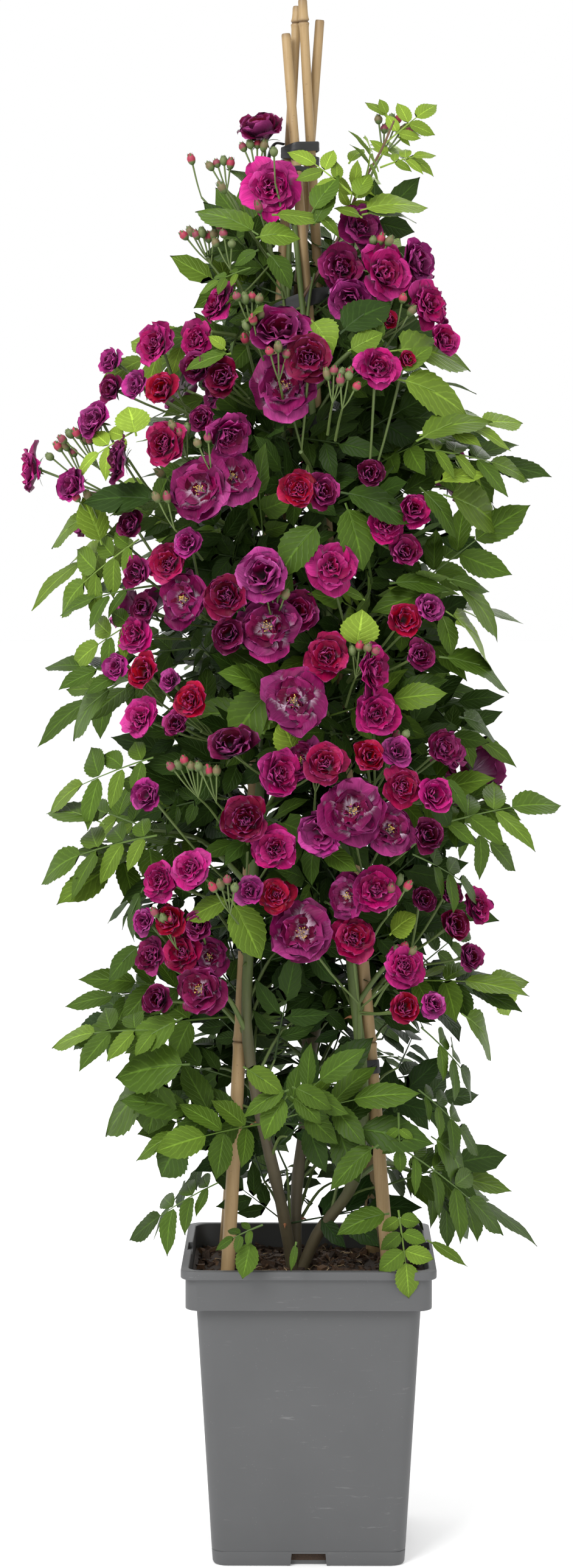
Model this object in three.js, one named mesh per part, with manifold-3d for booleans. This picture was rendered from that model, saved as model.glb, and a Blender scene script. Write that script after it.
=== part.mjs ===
// Potted climbing rose on four bamboo canes, in a square nursery pot.
// Millimetres, +Z up. The origin is the middle of the pot's foot, and the front of the plant faces -Y.
import * as THREE from "three";
import { mergeVertices } from "three/addons/utils/BufferGeometryUtils.js";
import Module from "manifold-3d";

// Clearance between neighbours that touch on the real plant.
const GAP = 0.35;

// How near two points are the same, and how far a merged face may move.
const WELD = 1e-4;
const FLATNESS = 0.004;

// Pot: half widths and heights of the square container.
const POT_HEIGHT = 270;
const RIM_HALF = 112.5;
const LIP_HEIGHT = 8;
const COLLAR_HALF = 108.5;
const COLLAR_HEIGHT = 36;
const BODY_TOP_HALF = 99;
const BODY_FOOT_HALF = 85.5;
const WALL = 3;
const FLOOR = 3.5;
const CORNER_RADIUS = 13;
const CORNER_STEPS = 3;
const AROUND = 4 * CORNER_STEPS;
const FOOT_EDGE = 2.5;
const COLLAR_EDGE = { out: 1, up: 1.5 };
const RIM_EDGE = 1;
const NOTCH = { foot: 33, head: 30, height: 11.5, depth: 7 };
const SLOT = { length: 35, width: 4, depth: 5, fromEdge: 5 };
const DRAIN = { radius: 6, offset: 55, sides: 6 };

// Soil.
const SOIL_TOP = 247;
const SOIL_BUMP = 3;
const SOIL_RINGS = 4;
const SOIL_FOOT_CLEAR = 0.55;
const CANE_FOOT = 165;

// Bamboo canes: where each axis passes at the soil and at the crossing, and how tall it stands.
const CROSSING = 1250;
const CANES = [
  { name: "front_left", soil: [-73, -74], crossing: [-18, -3], top: 1380 },
  { name: "front_right", soil: [72, -74], crossing: [-12, -14], top: 1354 },
  { name: "back_left", soil: [-78, 74], crossing: [0, 12], top: 1368 },
  { name: "back_right", soil: [60, 74], crossing: [2, 3], top: 1384 },
];
const CANE_RADIUS = { foot: 6.3, top: 4.3 };
const CANE_SIDES = 6;
const NODE_SPACING = 300;
const NODE_SWELL = 0.7;
const NODE_HALF = 5;

// Leading stems: the side of its cane that each one climbs (degrees from +X), its free points from the
// crown, and the heights where it joins the cane and ends.
const CROWN = [-12, -8, 236];
const CROWN_ROOT = { foot: 170, top: 250, radii: [6, 9, 7] };
const LEADERS = [
  {
    cane: 0,
    side: -50,
    free: [CROWN, [-22, -27, 300], [-32, -44, 350], [-46, -62, 415]],
    joins: 485,
    tip: 1180,
  },
  { cane: 1, side: -130, free: [CROWN, [8, -20, 285], [40, -44, 338]], joins: 420, tip: 1185 },
  {
    cane: 3,
    side: 225,
    free: [CROWN, [-11, -6, 320], [-3, 0, 390], [2, 6, 446], [17, 26, 510]],
    joins: 600,
    tip: 1120,
  },
  { cane: 2, side: -45, free: [[-3, 0, 390], [0, 8, 446], [-17, 26, 520]], joins: 630, tip: 1085 },
];
const LEADER_RADIUS = { foot: 5.6, tip: 2.4, thinnestAt: 1180 };
const LEADER_SIDES = 5;
const LEADER_STEP = 105;
const LEADER_CLEAR = 1;
const LEADER_SWAY = { angle: 0.35, wave: 120 };
const THORN = { length: 6, radius: 1.6, point: 0.25, droop: 1.5, spacing: 240, below: 100, above: 40 };

// Ties: leader and height of each tape, and the strap round the crossing.
const TAPES = [
  { leader: 0, z: 552 },
  { leader: 0, z: 905 },
  { leader: 0, z: 1085 },
  { leader: 1, z: 444 },
  { leader: 1, z: 1012 },
  { leader: 2, z: 792 },
  { leader: 2, z: 1080 },
  { leader: 3, z: 838 },
];
const TAPE = { height: 12, thickness: 1, clear: 0.5 };
const STRAP = { height: 17, thickness: 1.6, clear: 1.3 };
const BAND_STEPS = 6;
const STRAIGHT = 1e-6;
// The strap's loose end: its points to the right of the strap's left side, behind its front and over
// the crossing.
const STRAP_END = {
  width: 3.2,
  thickness: 1.3,
  points: [[0.8, 0, 4], [-7, -4, 3], [-11, -7, -12], [-7, -6, -30], [-2.5, -4, -14], [0.4, -2, -5]],
};

// How the plant was looked at when its blooms were placed: from a point in front of the pot, with the
// eye turned down and left (radians). Columns and rows count in steps of a plane focal steps away.
const VIEW = { distance: 3112.5, height: 903, focal: 5707, middle: [471, 1288] };
const GAZE = { down: 0.0684, left: 0.00646 };

// Outline of the foliage: row, leftmost column and rightmost column.
const OUTLINE = [
  [150, 480, 560], [250, 380, 620], [330, 330, 690], [440, 313, 700], [555, 175, 785], [640, 165, 850],
  [755, 60, 880], [880, 70, 848], [990, 72, 850], [1090, 75, 855], [1190, 80, 833], [1300, 60, 900],
  [1400, 55, 830], [1530, 150, 806], [1600, 130, 850], [1680, 100, 850], [1750, 150, 817],
  [1850, 150, 817], [1900, 190, 797], [2010, 200, 840],
];
const DEPTH_SHARE = 0.88;

// How far out of the bush a bloom sits: the first guess of its depth, how often it is worked out again,
// and the widest share of the outline that it may take.
const FRONT_DEPTH = { guess: -150, passes: 3, widest: 0.98 };
// Which way a bloom faces without its own angles, and the room that it leaves to others.
const BLOOM_FACE = { turn: 0.75, lift: 16 };
const BLOOM_ROOM = { share: 0.82, gap: 1.5, step: 6, tries: 14 };

// Blooms of the front, spray by spray: column, row and width of each, and where it faces if that isn't
// straight out of the bush (turn to the right and lift, in degrees).
const FRONT_SPRAYS = [
  { kind: "magenta", leader: 0, reach: 0.5, buds: 3, blooms: [
    [430, 219, 78, -30, 60], [446, 308, 87, 0, 5], [360, 497, 68, -60, 30],
  ] },
  { kind: "purple", leader: 1, reach: 0.6, blooms: [
    [592, 372, 70], [562, 442, 75], [637, 526, 34],
  ] },
  { kind: "magenta", leader: 1, reach: 0.85, blooms: [
    [632, 450, 85], [680, 432, 70], [703, 499, 70], [727, 560, 50],
  ] },
  { kind: "purple", leader: 0, reach: 0.9, blooms: [
    [255, 565, 70], [186, 595, 45], [186, 640, 45], [227, 634, 44], [268, 640, 52],
  ] },
  { kind: "magenta", leader: 0, reach: 0.8, buds: 3, blooms: [
    [324, 559, 60], [326, 606, 52], [462, 552, 90, 0, 40], [368, 622, 56],
  ] },
  { kind: "crimson", leader: 1, reach: 0.9, blooms: [
    [508, 588, 72], [468, 634, 90], [490, 803, 58],
  ] },
  { kind: "magenta", leader: 1, reach: 0.88, blooms: [
    [622, 603, 66], [668, 592, 34], [607, 779, 42], [634, 862, 60], [678, 838, 50], [664, 908, 50],
  ] },
  { kind: "magenta", leader: 0, reach: 0.95, buds: 3, blooms: [
    [159, 692, 58], [195, 755, 70, -80, 5], [51, 773, 74, -80, 0], [122, 800, 58],
  ] },
  { kind: "crimson", leader: 0, reach: 0.9, blooms: [
    [271, 729, 68], [333, 689, 42], [375, 716, 76, 40, -25], [327, 803, 90],
  ] },
  { kind: "crimson", leader: 3, reach: 0.88, blooms: [
    [216, 863, 42], [310, 893, 45], [276, 925, 64], [228, 943, 50], [300, 983, 74], [238, 1000, 42],
    [222, 1042, 60],
  ] },
  { kind: "purple", leader: 0, reach: 0.95, buds: 2, blooms: [
    [372, 978, 70], [434, 946, 80], [440, 1028, 84], [378, 1044, 56],
  ] },
  { kind: "crimson", leader: 0, reach: 0.92, blooms: [
    [195, 1097, 44], [239, 1104, 52], [282, 1119, 40], [312, 1150, 54], [292, 1190, 42],
    [231, 1179, 62],
  ] },
  { kind: "magenta", leader: 1, reach: 0.92, blooms: [
    [544, 932, 76], [539, 1078, 68], [613, 1101, 76, 65, 0], [663, 1019, 52], [702, 1000, 50],
    [688, 1077, 45],
  ] },
  { kind: "plum", leader: 0, reach: 1, blooms: [
    [484, 1152, 92], [384, 1229, 70, -15, 50], [460, 1270, 76, 40, 5], [534, 1254, 66],
  ] },
  { kind: "crimson", leader: 1, reach: 0.95, blooms: [
    [619, 1173, 68], [606, 1244, 50], [652, 1236, 46], [730, 1229, 56], [662, 1293, 60],
    [712, 1308, 56],
  ] },
  { kind: "purple", leader: 1, reach: 0.95, blooms: [
    [580, 1329, 88], [642, 1362, 68], [700, 1372, 52], [618, 1463, 70],
  ] },
  { kind: "crimson", leader: 0, reach: 0.92, blooms: [
    [404, 1347, 74], [452, 1395, 68], [412, 1465, 44], [454, 1470, 54], [243, 1307, 50],
    [312, 1427, 62], [262, 1446, 58],
  ] },
  { kind: "plum", leader: 0, reach: 0.95, blooms: [
    [240, 1515, 42], [282, 1512, 48], [326, 1522, 46], [300, 1564, 62], [248, 1570, 54],
    [327, 1625, 72], [262, 1642, 50],
  ] },
  { kind: "purple", leader: 1, reach: 0.95, blooms: [
    [497, 1532, 88], [582, 1540, 70], [664, 1588, 66], [664, 1656, 48], [710, 1650, 42],
  ] },
  { kind: "magenta", leader: 1, reach: 0.9, blooms: [
    [694, 1478, 40], [738, 1468, 42], [785, 1489, 56], [744, 1520, 52], [770, 1572, 46],
  ] },
];

// Sprays of the back: leader, bearing round the bush, height of the middle and number of blooms.
const BACK_SPRAYS = [
  { kind: "magenta", leader: 3, bearing: 205, z: 1100, blooms: 4, buds: 2 },
  { kind: "purple", leader: 2, bearing: 150, z: 1000, blooms: 5, buds: 1 },
  { kind: "crimson", leader: 3, bearing: 232, z: 880, blooms: 6 },
  { kind: "magenta", leader: 2, bearing: 175, z: 790, blooms: 6 },
  { kind: "plum", leader: 2, bearing: 125, z: 700, blooms: 5 },
];
const BACK_BLOOM = { least: 13.5, most: 24, arc: 52, sway: 10, spread: 62, reach: 0.92, deeper: 0.1 };
const BACK_FACE = { turn: 40, lift: 5, more: 30 };

// A bloom: how many petals a layer has by its radius, its stem's side shoot and stalk, and a bud. Petals
// stand in two layers, with each layer's tips over the notches of the one below.
const PETALS = [
  { under: 14.5, count: 3 },
  { under: 19.5, count: 4 },
  { under: 99, count: 5 },
];
const LAYERS = [
  { radius: 1, height: 0.1, notch: 0.76, dip: 0.16, odd: 0 },
  { radius: 0.62, height: 0.44, notch: 0.68, dip: 0.16, odd: 1 },
];
const CUP = { neck: -0.5, middle: 0.2 };
const LATERAL = { root: 2.5, tip: 2, sides: 3, rise: 50, inward: 0.72, lower: 34, bend: 10, lowest: 300 };
const STALK = { root: 0.85, tip: 1.3, sides: 3, first: 0.97, last: 0.5 };
const BUD = { length: 13, radius: 4.6, point: 0.5, reach: 44, first: 0.45, step: 0.1, widest: 0.45 };
const BUD_WAY = { out: 0.4, up: 0.5 };

// Leafy stems: leader and height where each starts, bearing, and height of the tip. The young shoot
// follows its own points.
const LEAFY_STEMS = [
  { leader: 0, z: 1050, bearing: 300, tip: 1090 },
  { leader: 2, z: 1000, bearing: 165, tip: 1080 },
  { leader: 1, z: 935, bearing: 82, tip: 985 },
  { leader: 0, z: 850, bearing: 287, tip: 925 },
  { leader: 3, z: 900, bearing: 205, tip: 985 },
  { leader: 1, z: 790, bearing: 52, tip: 860 },
  { leader: 3, z: 760, bearing: 250, tip: 800 },
  { leader: 2, z: 790, bearing: 118, tip: 850 },
  { leader: 1, z: 640, bearing: 80, tip: 672 },
  { leader: 0, z: 600, bearing: 283, tip: 650 },
  { leader: 2, z: 610, bearing: 160, tip: 660 },
  { leader: 3, z: 650, bearing: 215, tip: 700 },
  { leader: 0, z: 470, bearing: 275, tip: 505 },
  { leader: 1, z: 490, bearing: 75, tip: 530 },
  { leader: 2, z: 430, bearing: 185, tip: 500 },
  { leader: 0, z: 372, bearing: 342, tip: 400 },
  { leader: 1, z: 335, bearing: 102, tip: 335 },
  { leader: 1, z: 705, bearing: 8, tip: 760 },
];
const YOUNG_SHOOT = {
  name: "young_shoot",
  leader: 1,
  z: 1120,
  points: [[552, 400, -26], [590, 312, -30], [625, 250, -34], [648, 198, -36]],
  leaves: 6,
  last: 0.8,
  lengths: { from: 58, to: 84 },
};
const LEAFY = { root: 2.7, tip: 2.1, sides: 3, arch: 0.16, from: 0.25, reach: 0.58, leaves: 6 };

// A pinnate leaf: length, thickness, the share that has two pairs of leaflets, and its rib. The shares
// of the length that its end leaflet takes, and where its pairs stand with their own lengths.
const LEAF_LENGTH = { from: 106, to: 148 };
const LEAF_THICKNESS = 0.8;
const TWO_PAIRS = 0.04;
const RIB = { half: 0.9, root: 0.5, foot: 1.6 };
const LEAF = { terminal: 0.42, slim: 0.27, widest: 0.45 };
const LEAFLETS = { at: [0.55, 0.33], lengths: [0.38, 0.32], angle: 1 };
const LEAF_ARCH = { along: 0.17, across: 0.12 };

// How a leaf leaves its stem: ahead, to the side, up and down, each with a draw added.
const LEAF_WAY = { ahead: 0.35, aheadMore: 0.5, side: 0.5, sideMore: 0.8, endSide: 0.9 };
const LEAF_LIFT = { up: 0.3, down: 0.75 };
const LEAF_FACE = { out: 0.3, outMore: 0.5, front: 0.6, up: 0.6, sway: 0.9 };
const STEM_LOOK = { ahead: 0.02, behind: 0.06 };
const LEAF_TRIES = 24;

// Room round each leaf, stem and bloom, the spots where a leaf is tested (shares of its length along and
// across, and shares of a leaflet), and the room over the pot.
const LEAF_ROOM = 4.5;
const STEM_ROOM = { radius: 2.5, step: 8 };
const POLE_STEP = 10;
const BLOOM_CORE = 0.85;
const LEAF_SPOTS = [[0.2, 0], [0.5, 0], [0.66, 0], [0.77, 0.08], [0.77, -0.08], [0.88, 0], [0.98, 0]];
const LEAFLET_SPOTS = [0.35, 0.65, 0.95];
const POT_ROOM = { half: 122, top: 276, low: 120 };
const BUSH_ROOM = { share: 1.1, more: 8 };

// Seeds of the draws.
const SEED = { soil: 20417, back: 20517, spray: 20717, leaf: 20917 };

// Colours, roughness and metalness.
const FINISH = {
  pot: { color: 0x6b6c6e, roughness: 0.55 },
  soil: { color: 0x33261c, roughness: 0.95 },
  bamboo: { color: 0xb99a63, roughness: 0.6 },
  strap: { color: 0x17171a, roughness: 0.5 },
  stem: { color: 0x5c6a2c, roughness: 0.6 },
  leaf: { color: 0x4f8a2b, roughness: 0.5 },
  shoot: { color: 0x7fae3a, roughness: 0.5 },
  magenta: { color: 0xb81478, roughness: 0.6 },
  purple: { color: 0x7c1466, roughness: 0.6 },
  crimson: { color: 0x93082f, roughness: 0.6 },
  plum: { color: 0x540c3c, roughness: 0.6 },
};

const wasm = await Module();
wasm.setup();
const root = new THREE.Group();
root.name = "potted_climbing_rose";

// Vectors as plain lists of three numbers.
const add = (a, b) => [a[0] + b[0], a[1] + b[1], a[2] + b[2]];
const sub = (a, b) => [a[0] - b[0], a[1] - b[1], a[2] - b[2]];
const mul = (a, s) => [a[0] * s, a[1] * s, a[2] * s];
const dot = (a, b) => a[0] * b[0] + a[1] * b[1] + a[2] * b[2];
const cross = (a, b) => [
  a[1] * b[2] - a[2] * b[1],
  a[2] * b[0] - a[0] * b[2],
  a[0] * b[1] - a[1] * b[0],
];
const length = (a) => Math.sqrt(dot(a, a));
const unit = (a) => mul(a, 1 / length(a));
const mix = (a, b, t) => a + (b - a) * t;
const blend = (a, b, t) => add(mul(a, 1 - t), mul(b, t));
const radians = (degrees) => (degrees * Math.PI) / 180;

// A seeded draw between 0 and 1.
function seeded(seed) {
  let state = seed % 4294967296;
  const draw = () => {
    state = (state * 1664525 + 1013904223) % 4294967296;
    return state / 4294967296;
  };
  draw();
  draw();
  return draw;
}

// A closed three.js geometry as a solid.
function solid(geometry) {
  const bare = geometry.index ? geometry.toNonIndexed() : geometry.clone();
  bare.deleteAttribute("normal");
  bare.deleteAttribute("uv");
  const merged = mergeVertices(bare, WELD);
  const triVerts = new Uint32Array(merged.index.array);
  const vertProperties = merged.attributes.position.array;
  const made = new wasm.Manifold(new wasm.Mesh({ numProp: 3, vertProperties, triVerts }));
  if (made.volume() > 0) return made;
  for (let i = 0; i < triVerts.length; i += 3) {
    [triVerts[i + 1], triVerts[i + 2]] = [triVerts[i + 2], triVerts[i + 1]];
  }
  return new wasm.Manifold(new wasm.Mesh({ numProp: 3, vertProperties, triVerts }));
}

// The geometry's vertices moved by a rule that takes [x, y, z] and the vertex's number.
function shaped(geometry, rule) {
  const place = geometry.attributes.position;
  for (let i = 0; i < place.count; i += 1) {
    place.setXYZ(i, ...rule([place.getX(i), place.getY(i), place.getZ(i)], i));
  }
  return geometry;
}

// The largest body of a solid, without loose scraps.
function largest(whole) {
  const bodies = whole.decompose();
  return bodies.reduce((best, body) => (body.volume() > best.volume() ? body : best));
}

// A solid as a named mesh of the part.
function place(name, whole, finish) {
  const body = largest(whole).simplify(FLATNESS);
  const mesh = body.getMesh();
  const geometry = new THREE.BufferGeometry();
  geometry.setAttribute("position", new THREE.BufferAttribute(Float32Array.from(mesh.vertProperties), 3));
  geometry.setIndex(new THREE.BufferAttribute(Uint32Array.from(mesh.triVerts), 1));
  geometry.computeVertexNormals();
  const material = new THREE.MeshStandardMaterial({ metalness: 0, ...FINISH[finish] });
  const node = new THREE.Mesh(geometry, material);
  node.name = name;
  root.add(node);
}

// A smooth path through points, with a number of steps between each two.
function smooth(points, steps) {
  const path = [];
  const last = points.length - 1;
  for (let i = 0; i < last; i += 1) {
    const a = points[Math.max(i - 1, 0)];
    const b = points[i];
    const c = points[i + 1];
    const d = points[Math.min(i + 2, last)];
    for (let k = 0; k < steps; k += 1) {
      const t = k / steps;
      path.push(
        b.map((_, n) => {
          const slope = (c[n] - a[n]) / 2;
          const next = (d[n] - b[n]) / 2;
          const rise = c[n] - b[n];
          const square = 3 * rise - 2 * slope - next;
          const cube = slope + next - 2 * rise;
          return b[n] + slope * t + square * t * t + cube * t * t * t;
        }),
      );
    }
  }
  path.push(points[last]);
  return path;
}

// The frame at each point of a path: its direction, and two more at right angles, carried along.
function frames(path) {
  const result = [];
  let side = [1, 0, 0];
  for (let i = 0; i < path.length; i += 1) {
    const along = unit(sub(path[Math.min(i + 1, path.length - 1)], path[Math.max(i - 1, 0)]));
    if (i === 0) side = Math.abs(along[0]) < 0.9 ? [1, 0, 0] : [0, 1, 0];
    side = unit(sub(side, mul(along, dot(side, along))));
    result.push({ along, side, other: cross(along, side) });
  }
  return result;
}

// A round bar along a path, with its own radius at each point: a cylinder bent onto the path.
function bar(path, radii, sides, flat = 1) {
  const cylinder = new THREE.CylinderGeometry(1, 1, path.length - 1, sides, path.length - 1);
  const turned = frames(path);
  return solid(
    shaped(cylinder, ([x, y, z]) => {
      const i = Math.round(y + (path.length - 1) / 2);
      const frame = turned[i];
      const across = add(mul(frame.side, x * radii[i] * flat), mul(frame.other, -z * radii[i]));
      return add(path[i], across);
    }),
  );
}

// Even radii from one end of a path to the other.
const tapered = (path, from, to, extra) => path.map((_, i) => mix(from, to, i / (path.length - 1)) + extra);

// A point on a polyline at a share of its count of steps.
function along(path, share) {
  const place = Math.min(Math.max(share, 0), 1) * (path.length - 1);
  const i = Math.min(Math.floor(place), path.length - 2);
  return blend(path[i], path[i + 1], place - i);
}

// Where the sight line of a column and a row passes the upright plane at a depth y.
function seen(column, row, y) {
  const u = (column - VIEW.middle[0]) / VIEW.focal;
  const v = (VIEW.middle[1] - row) / VIEW.focal;
  const cosDown = Math.cos(GAZE.down);
  const sinDown = Math.sin(GAZE.down);
  const cosLeft = Math.cos(GAZE.left);
  const sinLeft = Math.sin(GAZE.left);
  const ahead = cosDown + v * sinDown;
  const line = [
    -sinLeft * ahead + u * cosLeft,
    cosLeft * ahead + u * sinLeft,
    -sinDown + v * cosDown,
  ];
  const reach = (y + VIEW.distance) / line[1];
  return [line[0] * reach, y, VIEW.height + line[2] * reach];
}

// The outline's half widths at a height: to the left and to the right of the axis.
const OUTLINE_MM = OUTLINE.map(([row, left, right]) => {
  const a = seen(left, row, 0);
  const b = seen(right, row, 0);
  return { z: a[2], left: -a[0], right: b[0] };
});
function halfWidths(z) {
  const rows = OUTLINE_MM;
  if (z >= rows[0].z) return rows[0];
  for (let i = 1; i < rows.length; i += 1) {
    if (z >= rows[i].z) {
      const t = (z - rows[i].z) / (rows[i - 1].z - rows[i].z);
      const at = (key) => mix(rows[i][key], rows[i - 1][key], t);
      return { left: at("left"), right: at("right") };
    }
  }
  return rows[rows.length - 1];
}

// The outline's radius at a bearing (0 is the front, 90 the right) and a height.
function bushRadius(bearing, z) {
  const half = halfWidths(z);
  const x = Math.sin(radians(bearing));
  const y = Math.cos(radians(bearing));
  const wide = x > 0 ? half.right : half.left;
  const deep = (DEPTH_SHARE * (half.left + half.right)) / 2;
  return Math.sqrt((wide * x) ** 2 + (deep * y) ** 2);
}
const outward = (bearing) => [Math.sin(radians(bearing)), -Math.cos(radians(bearing)), 0];

// Canes.
function canePoint(cane, z) {
  const t = (z - SOIL_TOP) / (CROSSING - SOIL_TOP);
  return [mix(cane.soil[0], cane.crossing[0], t), mix(cane.soil[1], cane.crossing[1], t), z];
}
const caneRadius = (z) => mix(CANE_RADIUS.foot, CANE_RADIUS.top, (z - CANE_FOOT) / (CROSSING - CANE_FOOT));
function caneSolid(cane, extra) {
  const stations = [{ z: CANE_FOOT, swell: 0 }];
  for (let z = CANE_FOOT + NODE_SPACING; z < cane.top - NODE_HALF; z += NODE_SPACING) {
    stations.push({ z: z - NODE_HALF, swell: 0 });
    stations.push({ z, swell: NODE_SWELL });
    stations.push({ z: z + NODE_HALF, swell: 0 });
  }
  stations.push({ z: cane.top, swell: 0 });
  const path = stations.map(({ z }) => canePoint(cane, z));
  const radii = stations.map(({ z, swell }) => caneRadius(z) + swell + extra);
  return bar(path, radii, CANE_SIDES);
}

// Leading stems.
function leaderPath(leader) {
  const cane = CANES[leader.cane];
  const points = [...leader.free];
  const span = leader.tip - leader.joins;
  const count = Math.round(span / LEADER_STEP);
  for (let i = 0; i <= count; i += 1) {
    const z = leader.joins + (span * i) / count;
    const angle = radians(leader.side) + LEADER_SWAY.angle * Math.sin(z / LEADER_SWAY.wave);
    const off = caneRadius(z) + leaderRadius(z) + NODE_SWELL + LEADER_CLEAR;
    const axis = canePoint(cane, z);
    points.push([axis[0] + off * Math.cos(angle), axis[1] + off * Math.sin(angle), z]);
  }
  return points;
}
function leaderRadius(z) {
  const share = (z - CROWN[2]) / (LEADER_RADIUS.thinnestAt - CROWN[2]);
  return mix(LEADER_RADIUS.foot, LEADER_RADIUS.tip, Math.min(Math.max(share, 0), 1));
}
const LEADER_PATHS = LEADERS.map(leaderPath);

// The point of a leading stem at a height.
function onLeader(index, z) {
  const path = LEADER_PATHS[index];
  const top = path[path.length - 1][2];
  const height = Math.min(Math.max(z, path[0][2] + 1), top - 1);
  const i = path.findIndex(([, , up]) => up >= height);
  const t = (height - path[i - 1][2]) / (path[i][2] - path[i - 1][2]);
  return blend(path[i - 1], path[i], t);
}

// A square lathe: every ring of the profile becomes a square with rounded corners, and a rule may raise
// each point of ring j at step k round it.
function squared(profile, raise = () => 0) {
  const lathe = new THREE.LatheGeometry(
    profile.map(([half, z]) => new THREE.Vector2(half, z)),
    AROUND,
  );
  return solid(
    shaped(lathe, (_, index) => {
      const j = index % profile.length;
      const k = Math.floor(index / profile.length) % AROUND;
      const [half, z] = profile[j];
      const corner = Math.floor(k / CORNER_STEPS);
      const angle = (corner + (k % CORNER_STEPS) / (CORNER_STEPS - 1)) * (Math.PI / 2);
      const radius = Math.min(CORNER_RADIUS, half);
      const middle = (half - radius) * Math.SQRT2;
      const toCorner = (corner + 0.5) * (Math.PI / 2);
      return [
        middle * Math.cos(toCorner) + radius * Math.cos(angle),
        middle * Math.sin(toCorner) + radius * Math.sin(angle),
        z + raise(j, k),
      ];
    }),
  );
}
const bodyHalf = (z) => mix(BODY_FOOT_HALF, BODY_TOP_HALF, z / (POT_HEIGHT - COLLAR_HEIGHT));

// A trapezoid block that stands against the foot of the -Y side: grown outline, from y0 to y1.
function notchBlock(grow, y0, y1) {
  const foot = NOTCH.foot / 2 + grow;
  const head = NOTCH.head / 2 + grow;
  const shape = new THREE.Shape([
    new THREE.Vector2(-foot, -WALL),
    new THREE.Vector2(foot, -WALL),
    new THREE.Vector2(head, NOTCH.height + grow),
    new THREE.Vector2(-head, NOTCH.height + grow),
  ]);
  const block = new THREE.ExtrudeGeometry(shape, { depth: y1 - y0, bevelEnabled: false });
  block.rotateX(Math.PI / 2).translate(0, y1, 0);
  return solid(block);
}
const onEachSide = (make) => [0, 90, 180, 270].map((turn) => make().rotate([0, 0, turn]));

function potSolid() {
  const step = POT_HEIGHT - COLLAR_HEIGHT;
  const lip = POT_HEIGHT - LIP_HEIGHT;
  let pot = squared([
    [0, 0],
    [BODY_FOOT_HALF - FOOT_EDGE, 0],
    [BODY_FOOT_HALF, FOOT_EDGE],
    [BODY_TOP_HALF, step],
    [COLLAR_HALF - COLLAR_EDGE.out, step],
    [COLLAR_HALF, step + COLLAR_EDGE.up],
    [COLLAR_HALF, lip],
    [RIM_HALF, lip],
    [RIM_HALF, POT_HEIGHT - RIM_EDGE],
    [RIM_HALF - RIM_EDGE, POT_HEIGHT],
    [COLLAR_HALF - WALL, POT_HEIGHT],
    [COLLAR_HALF - WALL, step + WALL],
    [BODY_TOP_HALF - WALL, step + WALL],
    [bodyHalf(FLOOR) - WALL, FLOOR],
    [0, FLOOR],
  ]);
  const outer = -BODY_FOOT_HALF;
  const boxes = onEachSide(() => notchBlock(WALL, outer + WALL / 2, outer + NOTCH.depth + WALL));
  const cuts = onEachSide(() => notchBlock(0, outer - WALL * 2, outer + NOTCH.depth));
  for (const box of boxes) pot = pot.add(box);
  const floor = new THREE.BoxGeometry(RIM_HALF * 2, RIM_HALF * 2, WALL * 2);
  const underFoot = solid(floor.translate(0, 0, -WALL));
  pot = pot.subtract(underFoot);
  for (const cut of cuts) pot = pot.subtract(cut);
  for (const sign of [-1, 1]) {
    const middle = sign * (RIM_HALF - SLOT.fromEdge);
    const slot = new THREE.BoxGeometry(SLOT.width, SLOT.length, SLOT.depth * 2);
    pot = pot.subtract(solid(slot.translate(middle, 0, POT_HEIGHT)));
    for (const side of [-1, 1]) {
      const drain = new THREE.CylinderGeometry(DRAIN.radius, DRAIN.radius, FLOOR * 4, DRAIN.sides);
      drain.rotateX(Math.PI / 2).translate(sign * DRAIN.offset, side * DRAIN.offset, 0);
      pot = pot.subtract(solid(drain));
    }
  }
  return pot;
}

// Soil: fills the pot, with a bumpy top of chips, and plain holes for what stands in it.
function soilSolid(standing) {
  const draw = seeded(SEED.soil);
  const step = POT_HEIGHT - COLLAR_HEIGHT + WALL + GAP;
  const wide = COLLAR_HALF - WALL - GAP;
  const profile = [
    [0, FLOOR + GAP],
    [bodyHalf(FLOOR) - WALL - SOIL_FOOT_CLEAR, FLOOR + GAP],
    [BODY_TOP_HALF - WALL - GAP, step],
    [wide, step],
  ];
  for (let ring = 0; ring < SOIL_RINGS; ring += 1) {
    profile.push([wide * (1 - ring / SOIL_RINGS), SOIL_TOP]);
  }
  profile.push([0, SOIL_TOP]);
  const bumps = Array.from({ length: AROUND * profile.length }, () => (draw() - 0.5) * 2 * SOIL_BUMP);
  const first = profile.length - SOIL_RINGS;
  const raise = (j, k) => (j >= first && j < profile.length - 1 ? bumps[k * profile.length + j] : 0);
  let soil = squared(profile, raise);
  const boxes = onEachSide(() =>
    notchBlock(WALL + GAP, -BODY_FOOT_HALF, -BODY_FOOT_HALF + NOTCH.depth + WALL + GAP),
  );
  for (const cut of [...boxes, ...standing]) soil = soil.subtract(cut);
  return soil;
}

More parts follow.
